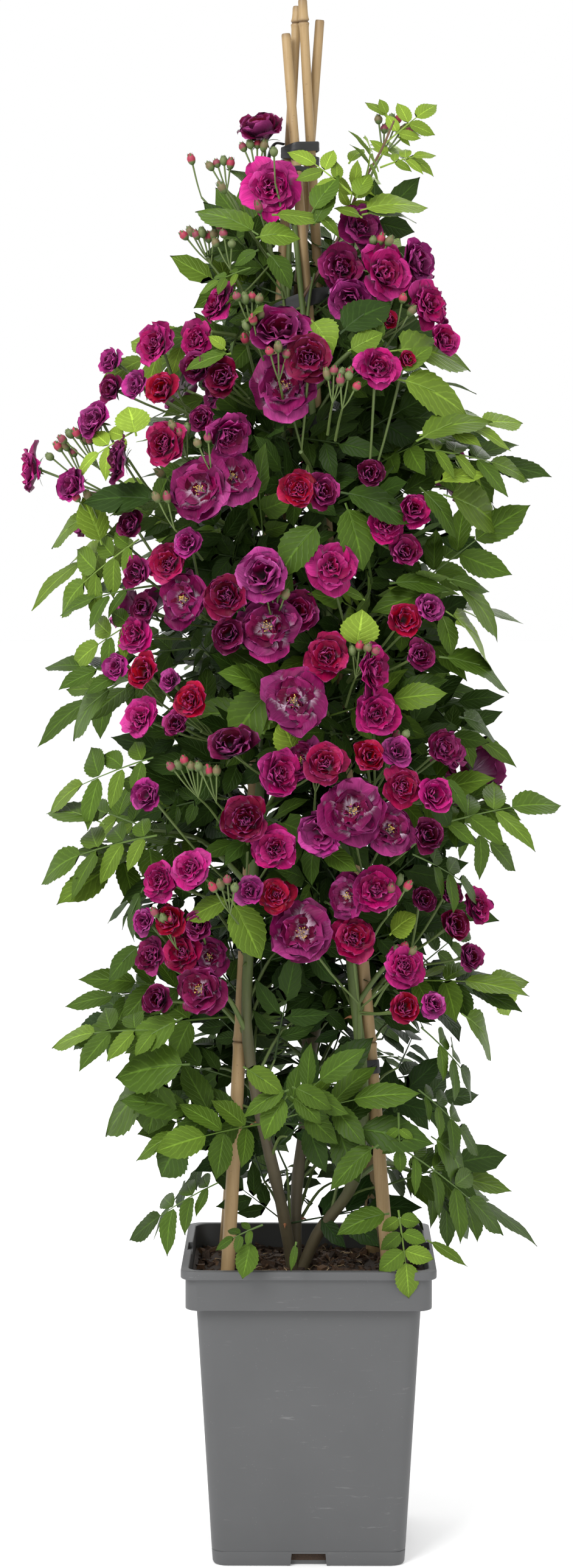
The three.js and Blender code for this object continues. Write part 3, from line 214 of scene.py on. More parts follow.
B = BloomRule
H = Hue
F = Form
FRONT_SPRAYS = (
    SprayRule("magenta", 0, 0.5, 3, (
        B(430, 219, 78, H.PURPLE, F.CUP, -30, 60), B(446, 308, 87, H.PINK, F.ROSETTE, 0, 5),
        B(360, 497, 68, H.MAGENTA, F.ROSETTE, -60, 30),
    )),
    SprayRule("purple", 1, 0.6, 0, (
        B(592, 372, 70, H.VIOLET, F.ROSETTE), B(562, 442, 75, H.PURPLE, F.ROSETTE),
        B(637, 526, 34, H.RED, F.OPENING),
    )),
    SprayRule("magenta", 1, 0.85, 0, (
        B(632, 450, 85, H.MAGENTA, F.ROSETTE), B(680, 432, 70, H.LILAC, F.CUP),
        B(703, 499, 70, H.MAGENTA, F.ROSETTE), B(727, 560, 50, H.MAGENTA, F.CUP),
    )),
    SprayRule("purple", 0, 0.9, 0, (
        B(255, 565, 70, H.MAGENTA, F.ROSETTE), B(186, 595, 45, H.LILAC, F.CUP),
        B(186, 640, 45, H.PURPLE, F.CUP), B(227, 634, 44, H.LILAC, F.CUP),
        B(268, 640, 52, H.RED, F.CUP),
    )),
    SprayRule("magenta", 0, 0.8, 3, (
        B(324, 559, 60, H.MAGENTA, F.ROSETTE), B(326, 606, 52, H.PURPLE, F.CUP),
        B(462, 552, 90, H.VIOLET, F.CUP, 0, 40), B(368, 622, 56, H.WINE, F.CUP),
    )),
    SprayRule("crimson", 1, 0.9, 0, (
        B(508, 588, 72, H.WINE, F.ROSETTE), B(468, 634, 90, H.VIOLET, F.OPEN),
        B(490, 803, 58, H.RED, F.ROSETTE),
    )),
    SprayRule("magenta", 1, 0.88, 0, (
        B(622, 603, 66, H.MAGENTA, F.ROSETTE), B(668, 592, 34, H.RED, F.OPENING),
        B(607, 779, 42, H.DARK, F.CUP), B(634, 862, 60, H.MAGENTA, F.ROSETTE),
        B(678, 838, 50, H.MAGENTA, F.CUP), B(664, 908, 50, H.PURPLE, F.CUP),
    )),
    SprayRule("magenta", 0, 0.95, 3, (
        B(159, 692, 58, H.LILAC, F.CUP), B(195, 755, 70, H.DARK, F.ROSETTE, -80, 5),
        B(51, 773, 74, H.PINK, F.ROSETTE, -80, 0), B(122, 800, 58, H.LILAC, F.CUP),
    )),
    SprayRule("crimson", 0, 0.9, 0, (
        B(271, 729, 68, H.CRIMSON, F.ROSETTE), B(333, 689, 42, H.PURPLE, F.CUP),
        B(375, 716, 76, H.VIOLET, F.ROSETTE, 40, -25), B(327, 803, 90, H.VIOLET, F.OPEN),
    )),
    SprayRule("crimson", 3, 0.88, 0, (
        B(216, 863, 42, H.DARK, F.CUP), B(310, 893, 45, H.LILAC, F.CUP),
        B(276, 925, 64, H.CRIMSON, F.ROSETTE), B(228, 943, 50, H.PURPLE, F.CUP),
        B(300, 983, 74, H.VIOLET, F.OPEN), B(238, 1000, 42, H.DARK, F.CUP),
        B(222, 1042, 60, H.MAGENTA, F.ROSETTE),
    )),
    SprayRule("purple", 0, 0.95, 2, (
        B(372, 978, 70, H.WINE, F.ROSETTE), B(434, 946, 80, H.LILAC, F.CUP),
        B(440, 1028, 84, H.VIOLET, F.OPEN), B(378, 1044, 56, H.DARK, F.CUP),
    )),
    SprayRule("crimson", 0, 0.92, 0, (
        B(195, 1097, 44, H.LILAC, F.CUP), B(239, 1104, 52, H.RED, F.CUP),
        B(282, 1119, 40, H.LILAC, F.OPENING), B(312, 1150, 54, H.RED, F.ROSETTE),
        B(292, 1190, 42, H.PURPLE, F.CUP), B(231, 1179, 62, H.PINK, F.ROSETTE),
    )),
    SprayRule("magenta", 1, 0.92, 0, (
        B(544, 932, 76, H.MAGENTA, F.ROSETTE), B(539, 1078, 68, H.CRIMSON, F.ROSETTE),
        B(613, 1101, 76, H.MAGENTA, F.ROSETTE, 65, 0), B(663, 1019, 52, H.RED, F.CUP),
        B(702, 1000, 50, H.LILAC, F.CUP), B(688, 1077, 45, H.PURPLE, F.CUP),
    )),
    SprayRule("plum", 0, 1, 0, (
        B(484, 1152, 92, H.VIOLET, F.OPEN), B(384, 1229, 70, H.DARK, F.CUP, -15, 50),
        B(460, 1270, 76, H.MAGENTA, F.ROSETTE, 40, 5), B(534, 1254, 66, H.CRIMSON, F.ROSETTE),
    )),
    SprayRule("crimson", 1, 0.95, 0, (
        B(619, 1173, 68, H.MAGENTA, F.ROSETTE), B(606, 1244, 50, H.RED, F.CUP),
        B(652, 1236, 46, H.LILAC, F.CUP), B(730, 1229, 56, H.PURPLE, F.ROSETTE),
        B(662, 1293, 60, H.CRIMSON, F.ROSETTE), B(712, 1308, 56, H.PINK, F.CUP),
    )),
    SprayRule("purple", 1, 0.95, 0, (
        B(580, 1329, 88, H.VIOLET, F.OPEN), B(642, 1362, 68, H.VIOLET, F.OPEN),
        B(700, 1372, 52, H.DARK, F.CUP), B(618, 1463, 70, H.MAGENTA, F.ROSETTE),
    )),
    SprayRule("crimson", 0, 0.92, 0, (
        B(404, 1347, 74, H.WINE, F.ROSETTE), B(452, 1395, 68, H.MAGENTA, F.ROSETTE),
        B(412, 1465, 44, H.LILAC, F.CUP), B(454, 1470, 54, H.RED, F.ROSETTE),
        B(243, 1307, 50, H.LILAC, F.CUP), B(312, 1427, 62, H.PINK, F.ROSETTE),
        B(262, 1446, 58, H.MAGENTA, F.ROSETTE),
    )),
    SprayRule("plum", 0, 0.95, 0, (
        B(240, 1515, 42, H.LILAC, F.CUP), B(282, 1512, 48, H.RED, F.CUP),
        B(326, 1522, 46, H.PURPLE, F.CUP), B(300, 1564, 62, H.CRIMSON, F.ROSETTE),
        B(248, 1570, 54, H.PURPLE, F.ROSETTE), B(327, 1625, 72, H.PURPLE, F.OPEN),
        B(262, 1642, 50, H.DARK, F.CUP),
    )),
    SprayRule("purple", 1, 0.95, 0, (
        B(497, 1532, 88, H.VIOLET, F.OPEN), B(582, 1540, 70, H.CRIMSON, F.ROSETTE),
        B(664, 1588, 66, H.MAGENTA, F.ROSETTE), B(664, 1656, 48, H.RED, F.CUP),
        B(710, 1650, 42, H.LILAC, F.CUP),
    )),
    SprayRule("magenta", 1, 0.9, 0, (
        B(694, 1478, 40, H.DARK, F.CUP), B(738, 1468, 42, H.DARK, F.CUP),
        B(785, 1489, 56, H.MAGENTA, F.ROSETTE), B(744, 1520, 52, H.WINE, F.CUP),
        B(770, 1572, 46, H.PURPLE, F.CUP),
    )),
)


@dataclass(frozen=True)
class BackRule:
    """A spray of the back: petals' slot, leading stem, bearing, height of its middle, blooms and buds."""

    slot: str
    leader: int
    bearing: float
    z: float
    blooms: int
    buds: int = 0


BACK_SPRAYS = (
    BackRule("magenta", 3, 205, 1100, 4, 2),
    BackRule("purple", 2, 150, 1000, 5, 1),
    BackRule("crimson", 3, 232, 880, 6),
    BackRule("magenta", 2, 175, 790, 6),
    BackRule("plum", 2, 125, 700, 5),
)
BACK_HUES = (H.MAGENTA, H.VIOLET, H.CRIMSON, H.LILAC, H.PURPLE, H.RED, H.PINK, H.WINE)
BACK_FORMS = (F.ROSETTE, F.CUP, F.ROSETTE, F.OPEN)
BACK_HUE_STEP = 3

# Draws for the back: arc and scatter of bearings, scatter of heights, reach over the bush's radius and how
# far it falls, the blooms' radii, and the scatter, least and span of where they face, in degrees.
BACK_ARC = (52.0, 10.0)
BACK_HEIGHT = 62.0
BACK_REACH = (0.92, 0.1)
BACK_RADIUS = (13.5, 24.0)
BACK_FACE = (40.0, 5.0, 30.0)

# Search of a sight line's depth: the first guess, the rounds and the most that x may be of the half width.
FRONT_DEPTH = (-150.0, 3, 0.98)
WIDE_BAND_DROP = 131.0

# Blooms: share of the bearing and lift in degrees; then share of both radii, gap, step inwards and tries.
BLOOM_FACE = (0.75, 16.0)
BLOOM_ROOM = (0.82, 1.5, 6.0, 14)

# Side shoots: radii, rise from the leading stem, how far in and under its blooms the hub lies, and the arch.
# Stalks leave between two shares of the shoot, and buds from a share of it that falls by a step.
LATERAL_RADIUS = (2.5, 1.7)
LATERAL_RISE = 50.0
LATERAL_INWARD = 0.72
LATERAL_LOWER = 34.0
LATERAL_BEND = 10.0
LATERAL_LOWEST = 300.0
STALK_RADIUS = (0.85, 1.3)
STALK_SHARES = (0.97, 0.5)
BUD_LENGTH = 13.0
BUD_REACH = 44.0
BUD_WIDEST = 0.45
BUD_SHARES = (0.45, 0.1)
BUD_WAY = (0.4, 0.5)
CUP_NECK = -0.5


@dataclass(frozen=True)
class StemRule:
    """A leafy stem: leading stem and height where it starts, bearing, height of the tip."""

    leader: int
    z: float
    bearing: float
    tip: float


LEAFY_STEMS = (
    StemRule(0, 1050, 300, 1090), StemRule(2, 1000, 165, 1080), StemRule(1, 935, 82, 985),
    StemRule(0, 850, 287, 925), StemRule(3, 900, 205, 985), StemRule(1, 790, 52, 860),
    StemRule(3, 760, 250, 800), StemRule(2, 790, 118, 850), StemRule(1, 640, 80, 672),
    StemRule(0, 600, 283, 650), StemRule(2, 610, 160, 660), StemRule(3, 650, 215, 700),
    StemRule(0, 470, 275, 505), StemRule(1, 490, 75, 530), StemRule(2, 430, 185, 500),
    StemRule(0, 372, 342, 400), StemRule(1, 335, 102, 335), StemRule(1, 705, 8, 760),
)

# The young shoot at the top: column, row and depth of its points.
YOUNG_LEADER = 1
YOUNG_Z = 1120.0
YOUNG_POINTS = ((552, 400, -26), (590, 312, -30), (625, 250, -34), (648, 198, -36))
YOUNG_RADIUS = (1.9, 0.8)
YOUNG_LEAVES = 6
YOUNG_LENGTH = (58.0, 84.0)
YOUNG_LAST = 0.8

# Leafy stems, and the leaves on them: lengths, the share with two pairs, and where leaflets leave the rib.
STEM_RADIUS = (2.7, 2.1)
STEM_ARCH = 0.16
STEM_REACH = 0.58
STEM_LEAVES = 6
LEAVES_FROM = 0.25
LEAF_LENGTH = (106.0, 148.0)
TWO_PAIRS = 0.04
TERMINAL = 0.42
LEAFLETS_AT = (0.55, 0.33)
LEAFLET_LENGTHS = (0.38, 0.32)
LEAFLET_ANGLE = 1.0
SLIM = 0.225
LEAF_ARCH = (0.17, 0.12)

# Draws for a leaf: least and span of how far it goes ahead and aside, the span of the last leaf, its lift and
# fall, and how far it faces out, forward, up and to the side.
LEAF_WAY = (0.35, 0.5, 0.5, 0.8, 0.9)
LEAF_LIFT = (0.3, 0.75)
LEAF_FACE = (0.3, 0.5, 0.6, 0.6, 0.9)
STEM_LOOK = (0.02, 0.06)

# Room round the leaves' spots, the stems and the core of each bloom, and the spots over the leaf's length.
LEAF_TRIES = 24
LEAF_ROOM = 4.5
STEM_ROOM = (2.5, 8.0)
POLE_STEP = 10.0
BLOOM_CORE = 0.85
LEAF_SPOTS = ((0.2, 0), (0.5, 0), (0.66, 0), (0.77, 0.08), (0.77, -0.08), (0.88, 0), (0.98, 0))
LEAFLET_SPOTS = (0.35, 0.65, 0.95)


@dataclass(frozen=True)
class LeafRule:
    """A leaf that shows from the front: column and row of its base and of its tip, pairs of leaflets
    (0 for one leaflet alone), tone, and width over the usual one."""

    column: float
    row: float
    tip_column: float
    tip_row: float
    pairs: int
    tone: float
    wide: float = 1.0


L = LeafRule
SHOWN_LEAVES = (
    L(578, 318, 480, 232, 1, 0.95), L(573, 268, 597, 235, 0, 0.9, 1.2), L(585, 325, 604, 279, 0, 0.75, 1.4),
    L(592, 345, 702, 313, 0, 0.85, 1.2), L(595, 352, 688, 329, 0, 0.75),
    L(596, 357, 557, 333, 0, 0.85, 1.4), L(625, 275, 716, 238, 1, 0.95), L(668, 256, 718, 276, 0, 0.9),
    L(640, 256, 614, 224, 0, 0.9), L(637, 192, 607, 160, 0, 0.85), L(636, 190, 626, 160, 0, 0.9),
    L(650, 218, 691, 212, 0, 0.95), L(652, 216, 688, 199, 0, 0.95), L(655, 224, 676, 236, 0, 0.95),
    L(425, 385, 322, 318, 0, 0.65, 1.1), L(420, 390, 486, 374, 0, 0.7, 1.5),
    L(447, 352, 534, 352, 0, 0.75, 1.1), L(520, 352, 563, 376, 0, 0.8), L(412, 440, 322, 467, 1, 0.65),
    L(440, 415, 482, 458, 0, 0.5, 1.3), L(425, 410, 382, 430, 0, 0.45), L(512, 350, 551, 281, 0, 0.6, 1.2),
    L(515, 370, 547, 313, 0, 0.55, 1.1), L(558, 548, 636, 477, 0, 0.25, 1.2),
    L(512, 525, 550, 570, 0, 0.8, 1.6), L(572, 577, 628, 544, 0, 0.75, 1.5),
    L(630, 562, 604, 512, 0, 0.65, 1.2), L(380, 580, 301, 594, 0, 0.75),
    L(372, 575, 349, 549, 0, 0.85, 1.3), L(638, 577, 784, 555, 0, 0.8, 1.1),
    L(655, 614, 706, 556, 0, 0.75, 1.1), L(654, 622, 779, 654, 0, 0.75, 1.2), L(690, 715, 866, 662, 1, 0.8),
    L(684, 724, 800, 655, 0, 0.75), L(698, 738, 891, 757, 2, 0.7), L(715, 792, 800, 764, 0, 0.85),
    L(730, 812, 850, 849, 0, 0.7, 1.2), L(690, 800, 770, 872, 0, 0.5, 1.1),
    L(740, 955, 857, 1024, 0, 0.65, 0.9), L(735, 950, 815, 964, 0, 0.6, 0.9),
    L(738, 970, 618, 982, 0, 0.65, 1.1), L(733, 1003, 852, 1080, 0, 0.75, 1.2),
    L(724, 1005, 754, 1072, 0, 0.7, 1.2), L(722, 1078, 862, 1094, 0, 0.65, 0.7),
    L(755, 1177, 835, 1192, 0, 0.35), L(715, 1357, 930, 1288, 2, 0.65), L(678, 1403, 818, 1463, 1, 0.5),
    L(700, 1290, 752, 1352, 0, 0.35, 1.2), L(728, 1276, 776, 1327, 0, 0.5), L(800, 1612, 873, 1597, 0, 0.7),
    L(822, 1614, 848, 1676, 0, 0.95, 1.3), L(760, 1665, 843, 1722, 0, 0.7, 1.1),
    L(693, 1688, 815, 1790, 1, 0.5, 1.3), L(688, 1790, 813, 1885, 2, 0.5),
    L(710, 1867, 797, 1924, 0, 0.5, 1.1), L(663, 1888, 860, 2012, 2, 0.55, 0.8),
    L(655, 1988, 676, 2135, 2, 0.7, 1.3), L(702, 2037, 776, 2077, 0, 0.7, 0.5),
    L(655, 1828, 658, 1930, 1, 0.6), L(622, 1880, 534, 1940, 0, 0.55, 1.1),
    L(640, 1993, 558, 2007, 0, 0.45, 1.3), L(560, 808, 687, 829, 0, 0.35, 1.3),
    L(568, 826, 607, 930, 0, 0.6, 1.5), L(527, 858, 448, 932, 0, 0.5, 1.3),
    L(448, 1130, 369, 1209, 0, 0.6, 1.5), L(362, 1060, 487, 1120, 0, 0.45, 1.2),
    L(586, 1064, 597, 1011, 0, 1.0, 2.4), L(486, 1240, 468, 1189, 0, 1.0, 2.2),
    L(640, 1536, 672, 1500, 0, 1.0, 2.2), L(224, 716, 213, 662, 0, 1.0, 2.2),
    L(640, 958, 738, 946, 0, 0.45), L(600, 985, 560, 960, 0, 0.75, 1.2), L(228, 886, 66, 997, 2, 0.75),
    L(168, 895, 141, 816, 0, 0.8, 1.3), L(252, 1003, 91, 1088, 1, 0.7), L(236, 1122, 72, 1062, 1, 0.5, 1.2),
    L(190, 1125, 77, 1201, 0, 0.6), L(252, 962, 87, 981, 1, 0.55), L(236, 700, 106, 766, 1, 0.95),
    L(262, 822, 134, 800, 0, 0.2, 1.1), L(150, 843, 62, 886, 0, 0.7, 0.8), L(252, 1244, 47, 1306, 2, 0.65),
    L(258, 1372, 37, 1410, 2, 0.65), L(172, 1353, 66, 1304, 0, 0.7, 1.1),
    L(236, 1458, 187, 1548, 0, 0.45, 0.6), L(232, 1550, 166, 1607, 0, 0.4), L(274, 1693, 69, 1684, 2, 0.65),
    L(380, 1476, 302, 1503, 0, 0.75, 1.3), L(381, 1478, 434, 1574, 0, 0.8, 1.2),
    L(312, 1748, 183, 1752, 0, 0.5, 1.2), L(268, 1762, 139, 1854, 0, 0.6, 1.1),
    L(264, 1766, 246, 1870, 0, 0.5, 1.5), L(300, 1672, 194, 1722, 0, 0.6),
    L(298, 1858, 210, 1895, 0, 0.7, 0.8), L(306, 1864, 252, 1932, 0, 0.5, 1.5),
    L(358, 1943, 188, 2022, 2, 0.55), L(432, 2012, 350, 2043, 1, 0.5), L(413, 2036, 399, 2100, 0, 0.6, 1.3),
    L(487, 2040, 479, 2086, 0, 0.6, 0.5), L(475, 1790, 396, 1818, 0, 0.6),
    L(472, 1800, 424, 1862, 0, 0.65, 1.3), L(478, 1800, 532, 1838, 0, 0.6), L(480, 1785, 545, 1812, 0, 0.6),
    L(400, 1752, 466, 1792, 0, 0.6),
)
SHOWN_DEPTH = (0.86, 1.0)

# Fans of buds that show from the front: column, row and how many.
BUD_FANS = (
    (312, 262, 1), (360, 250, 4), (416, 225, 4), (450, 240, 1), (330, 372, 7), (366, 380, 3), (407, 479, 4),
    (421, 514, 4), (457, 564, 3), (557, 600, 4), (575, 610, 3), (630, 383, 3), (674, 486, 2), (651, 190, 6),
    (121, 708, 5), (96, 730, 4), (286, 690, 4), (331, 715, 2), (306, 1248, 6), (340, 1256, 3),
    (366, 1439, 4), (447, 962, 5), (660, 1443, 3), (600, 1052, 4), (525, 1240, 3), (655, 1200, 3),
    (265, 1495, 3), (668, 1548, 3), (130, 812, 2), (262, 808, 2),
)

# Where no leaf of a stem goes: the pot's half width and height, the least height, and past the bush by more
# than a share and a length.
POT_ROOM = (122.0, 276.0, 120.0)
BUSH_ROOM = (1.1, 8.0)
SEED_BACK = 20517
SEED_SPRAY = 20717
SEED_LEAF = 20917
SEED_FILL = 31000
RIGHT = np.array((1.0, 0.0, 0.0))
BACK = np.array((0.0, 1.0, 0.0))
UP = np.array((0.0, 0.0, 1.0))
STEEP = 0.9
TINY = 1e-9


class Draws:
    """A seeded row of numbers between 0 and 1: each state is FACTOR times the last, plus SHIFT."""

    FACTOR = 1664525
    SHIFT = 1013904223
    SPAN = 2**32

    def __init__(self, seed: int) -> None:
        """Args: seed: the first state."""
        self.state = seed
        self()
        self()

    def __call__(self) -> float:
        """Returns: the next number."""
        self.state = (self.state * self.FACTOR + self.SHIFT) % self.SPAN
        return self.state / self.SPAN


def mix(a: float, b: float, share: float) -> float:
    """Returns: the number at a share of the way from a to b."""
    return a + (b - a) * share


def unit(v: np.ndarray) -> np.ndarray:
    """Returns: vectors of length 1 in the same directions, along the last axis."""
    return v / np.maximum(np.linalg.norm(v, axis=-1, keepdims=True), TINY)


def outward(bearing: float) -> np.ndarray:
    """Returns: the level direction of a bearing, where 0 is the front and 90 the right."""
    a = math.radians(bearing)
    return np.array((math.sin(a), -math.cos(a), 0.0))


def bearing_of(p: Sequence[float]) -> float:
    """Returns: the bearing of a point round the axis, in degrees."""
    return math.degrees(math.atan2(p[0], -p[1]))


def facing(turn: float, lift: float) -> np.ndarray:
    """Returns: the direction with a turn to the right and a lift, in degrees."""
    return outward(turn) * math.cos(math.radians(lift)) + UP * math.sin(math.radians(lift))


def seen(column: float, row: float, y: float) -> np.ndarray:
    """Returns: where the sight line of a column and a row passes the upright plane at a depth y."""
    u = (column - MIDDLE[0]) / FOCAL
    v = (MIDDLE[1] - row) / FOCAL
    ahead = math.cos(DOWN) + v * math.sin(DOWN)
    line = (
        -math.sin(LEFT) * ahead + u * math.cos(LEFT),
        math.cos(LEFT) * ahead + u * math.sin(LEFT),
        -math.sin(DOWN) + v * math.cos(DOWN),
    )
    reach = (y + DISTANCE) / line[1]
    return np.array((line[0] * reach, y, EYE_HEIGHT + line[2] * reach))


class Bush:
    """The outline that the foliage fills."""

    def __init__(self) -> None:
        """Works out the outline's heights and half widths in millimetres, lowest row first."""
        rows = [(seen(left, row, 0), seen(right, row, 0)) for row, left, right in reversed(OUTLINE)]
        self.z = np.array([a[2] for a, _ in rows])
        self.left = np.array([-a[0] for a, _ in rows])
        self.right = np.array([b[0] for _, b in rows])

    def halves(self, z: float) -> tuple[float, float]:
        """Returns: the half widths to the left and to the right of the axis at a height."""
        return float(np.interp(z, self.z, self.left)), float(np.interp(z, self.z, self.right))

    def radius(self, bearing: float, z: float) -> float:
        """Returns: the outline's radius: an ellipse of the side's half width and the share of depth."""
        left, right = self.halves(z)
        x, y = math.sin(math.radians(bearing)), math.cos(math.radians(bearing))
        wide = right if x > 0 else left
        deep = DEPTH_SHARE * (left + right) / 2
        return math.hypot(wide * x, deep * y)


BUSH = Bush()


def front_depth(column: float, row: float, reach: float) -> float:
    """Returns: the depth where a sight line meets the front of the bush, by a share of its depth."""
    y = FRONT_DEPTH[0]
    for _ in range(FRONT_DEPTH[1]):
        x, _, z = seen(column, row, y)
        left, right = BUSH.halves(z)
        share = min(abs(x) / (right if x > 0 else left), FRONT_DEPTH[2])
        y = -DEPTH_SHARE * (left + right) / 2 * math.sqrt(1 - share * share) * reach
    return y


def cane_point(cane: CaneRule, z: float) -> np.ndarray:
    """Returns: the cane's axis at a height."""
    t = (z - SOIL_TOP) / (CROSSING - SOIL_TOP)
    return np.array((mix(cane.soil[0], cane.crossing[0], t), mix(cane.soil[1], cane.crossing[1], t), z))


def cane_radius(z: float | np.ndarray) -> float | np.ndarray:
    """Returns: the cane's radius between its knots at a height, or at each of some heights."""
    return mix(CANE_RADIUS[0], CANE_RADIUS[1], (z - CANE_FOOT) / (CROSSING - CANE_FOOT))


def leader_radius(z: float) -> float:
    """Returns: the radius of a leading stem at a height."""
    share = (z - CROWN[2]) / (LEADER_THINNEST_AT - CROWN[2])
    return mix(LEADER_RADIUS[0], LEADER_RADIUS[1], min(max(share, 0.0), 1.0))


def leader_path(rule: LeaderRule) -> np.ndarray:
    """Returns: the points of a leading stem: its free points, then a slow sway round its cane."""
    points = [np.array(p, float) for p in rule.free]
    span = rule.tip - rule.joins
    count = math.floor(span / LEADER_STEP + 0.5)
    for i in range(count + 1):
        z = rule.joins + span * i / count
        angle = math.radians(rule.side) + LEADER_SWAY[0] * math.sin(z / LEADER_SWAY[1])
        off = cane_radius(z) + leader_radius(z) + KNOT_SWELL + LEADER_CLEAR
        axis = cane_point(CANES[rule.cane], z)
        points.append(axis + off * np.array((math.cos(angle), math.sin(angle), 0.0)))
    return np.array(points)


LEADER_PATHS = tuple(leader_path(rule) for rule in LEADERS)


def on_leader(index: int, z: float) -> np.ndarray:
    """Returns: the point of a leading stem at a height."""
    path = LEADER_PATHS[index]
    height = min(max(z, path[0][2] + 1), path[-1][2] - 1)
    return np.array([np.interp(height, path[:, 2], path[:, n]) for n in range(3)])


def along(path: np.ndarray, share: float) -> np.ndarray:
    """Returns: the point at a share of a path's count of steps."""
    place = min(max(share, 0.0), 1.0) * (len(path) - 1)
    i = min(int(place), len(path) - 2)
    return path[i] * (1 - place + i) + path[i + 1] * (place - i)


def wheel(axis: np.ndarray, angle: np.ndarray) -> tuple[np.ndarray, np.ndarray]:
    """Args: axis: a direction. angle: turns round it, whose last axis has length 1.

    Returns: the directions away from the axis at those turns, and the directions of turning there.
    """
    first = unit(np.cross(axis, UP if abs(axis[2]) < STEEP else RIGHT))
    second = np.cross(axis, first)
    cos, sin = np.cos(angle), np.sin(angle)
    return cos * first + sin * second, cos * second - sin * first


def smooth(points: Sequence[Sequence[float]], steps: int) -> np.ndarray:
    """Args: points: the path's own points. steps: how many steps lie between each two.

    Returns: a Catmull-Rom path, whose slope at each point is half the way between its neighbours.
    """
    p = np.asarray(points, float)
    q = np.vstack((p[:1], p, p[-1:]))
    t = (np.arange(steps) / steps)[:, None]
    a, b, c, d = (q[k : len(p) - 1 + k][:, None, :] for k in range(4))
    slope, end, rise = (c - a) / 2, (d - b) / 2, c - b
    run = b + slope * t + (3 * rise - 2 * slope - end) * t**2 + (slope + end - 2 * rise) * t**3
    return np.vstack((run.reshape(-1, 3), p[-1:]))


@dataclass
class Bloom:
    """A planned bloom: its middle, radius, the way it faces, colour, form, and its stalk's start."""

    centre: np.ndarray
    radius: float
    normal: np.ndarray
    hue: Hue
    form: Form
    start: np.ndarray = field(default_factory=lambda: np.zeros(3))


@dataclass
class Spray:
    """A planned spray: its node, petals' slot, blooms, side shoot and buds' stalks."""

    name: str
    slot: str
    blooms: list[Bloom]
    side: np.ndarray = field(default_factory=lambda: np.zeros((3, 3)))
    buds: list[np.ndarray] = field(default_factory=list)


@dataclass
class Leaf:
    """A planned pinnate leaf: its base, its way, the way it faces, its length and pairs of leaflets."""

    base: np.ndarray
    way: np.ndarray
    normal: np.ndarray
    size: float
    pairs: int
    tone: float = 0.5
    wide: float = 1.0

    @property
    def side(self) -> np.ndarray:
        """Returns: the direction across the leaf."""
        return np.cross(self.normal, self.way)

    def point(self, u: np.ndarray, v: np.ndarray, h: np.ndarray | float) -> np.ndarray:
        """Returns: points at lengths along, across and over the leaf, which arches down by a share of
        u squared over its size and of the distance from its rib."""
        arch = -LEAF_ARCH[0] * u * u / self.size - LEAF_ARCH[1] * np.abs(v)
        lift = (h + arch)[..., None] * self.normal
        return self.base + u[..., None] * self.way + v[..., None] * self.side + lift

    def samples(self) -> np.ndarray:
        """Returns: the spots where the leaf is tested against others."""
        spots = list(LEAF_SPOTS)
        for i in range(self.pairs):
            for share in LEAFLET_SPOTS:
                v = math.sin(LEAFLET_ANGLE) * LEAFLET_LENGTHS[i] * share
                u = LEAFLETS_AT[i] + math.cos(LEAFLET_ANGLE) * LEAFLET_LENGTHS[i] * share
                spots += [(u, v), (u, -v)]
        at = np.array(spots) * self.size
        return self.point(at[:, 0], at[:, 1], 0.0)


@dataclass
class LeafyStem:
    """A planned leafy stem: its node, path and leaves, and whether it is the young shoot."""

    name: str
    path: np.ndarray
    leaves: list[Leaf] = field(default_factory=list)
    young: bool = False


class Room:
    """Balls round what is already there, which no leaf may touch."""

    MOST = 80000

    def __init__(self) -> None:
        """Starts empty."""
        self.at = np.zeros((self.MOST, 4))
        self.count = 0

    def add(self, points: np.ndarray, radius: float) -> None:
        """Args: points: centres of the balls. radius: their radius."""
        n = len(points)
        self.at[self.count : self.count + n, :3] = points
        self.at[self.count : self.count + n, 3] = radius
        self.count += n

    def add_path(self, path: Sequence[np.ndarray], radius: float, step: float) -> None:
        """Args: path: points of a stem. radius: the balls' radius. step: their spacing."""
        for a, b in pairwise(path):
            count = max(math.ceil(float(np.linalg.norm(b - a)) / step), 1)
            t = (np.arange(count) / count)[:, None]
            self.add(a * (1 - t) + b * t, radius)

    def touched(self, points: np.ndarray, radius: float) -> bool:
        """Returns: whether balls of a radius round the points touch any ball that is there."""
        balls = self.at[: self.count]
        near = np.linalg.norm(points[:, None, :] - balls[None, :, :3], axis=2)
        return bool((near < balls[:, 3] + radius).any())


def outside(points: np.ndarray) -> bool:
    """Returns: whether a leaf would lie in the pot, too low, or outside the bush."""
    for x, y, z in points:
        if abs(x) < POT_ROOM[0] and abs(y) < POT_ROOM[0] and z < POT_ROOM[1]:
            return True
        reach = BUSH.radius(bearing_of((x, y)), z) * BUSH_ROOM[0] + BUSH_ROOM[1]
        if z < POT_ROOM[2] or math.hypot(x, y) > reach:
            return True
    return False


@dataclass
class LeafHabit:
    """How leaves stand on a stem: how long they are and how many have two pairs of leaflets."""

    lengths: tuple[float, float] = LEAF_LENGTH
    two_pairs: float = TWO_PAIRS
    room: float = LEAF_ROOM
    tries: int = LEAF_TRIES
    start: float = LEAVES_FROM
    end: float = 1.0
    free: bool = False


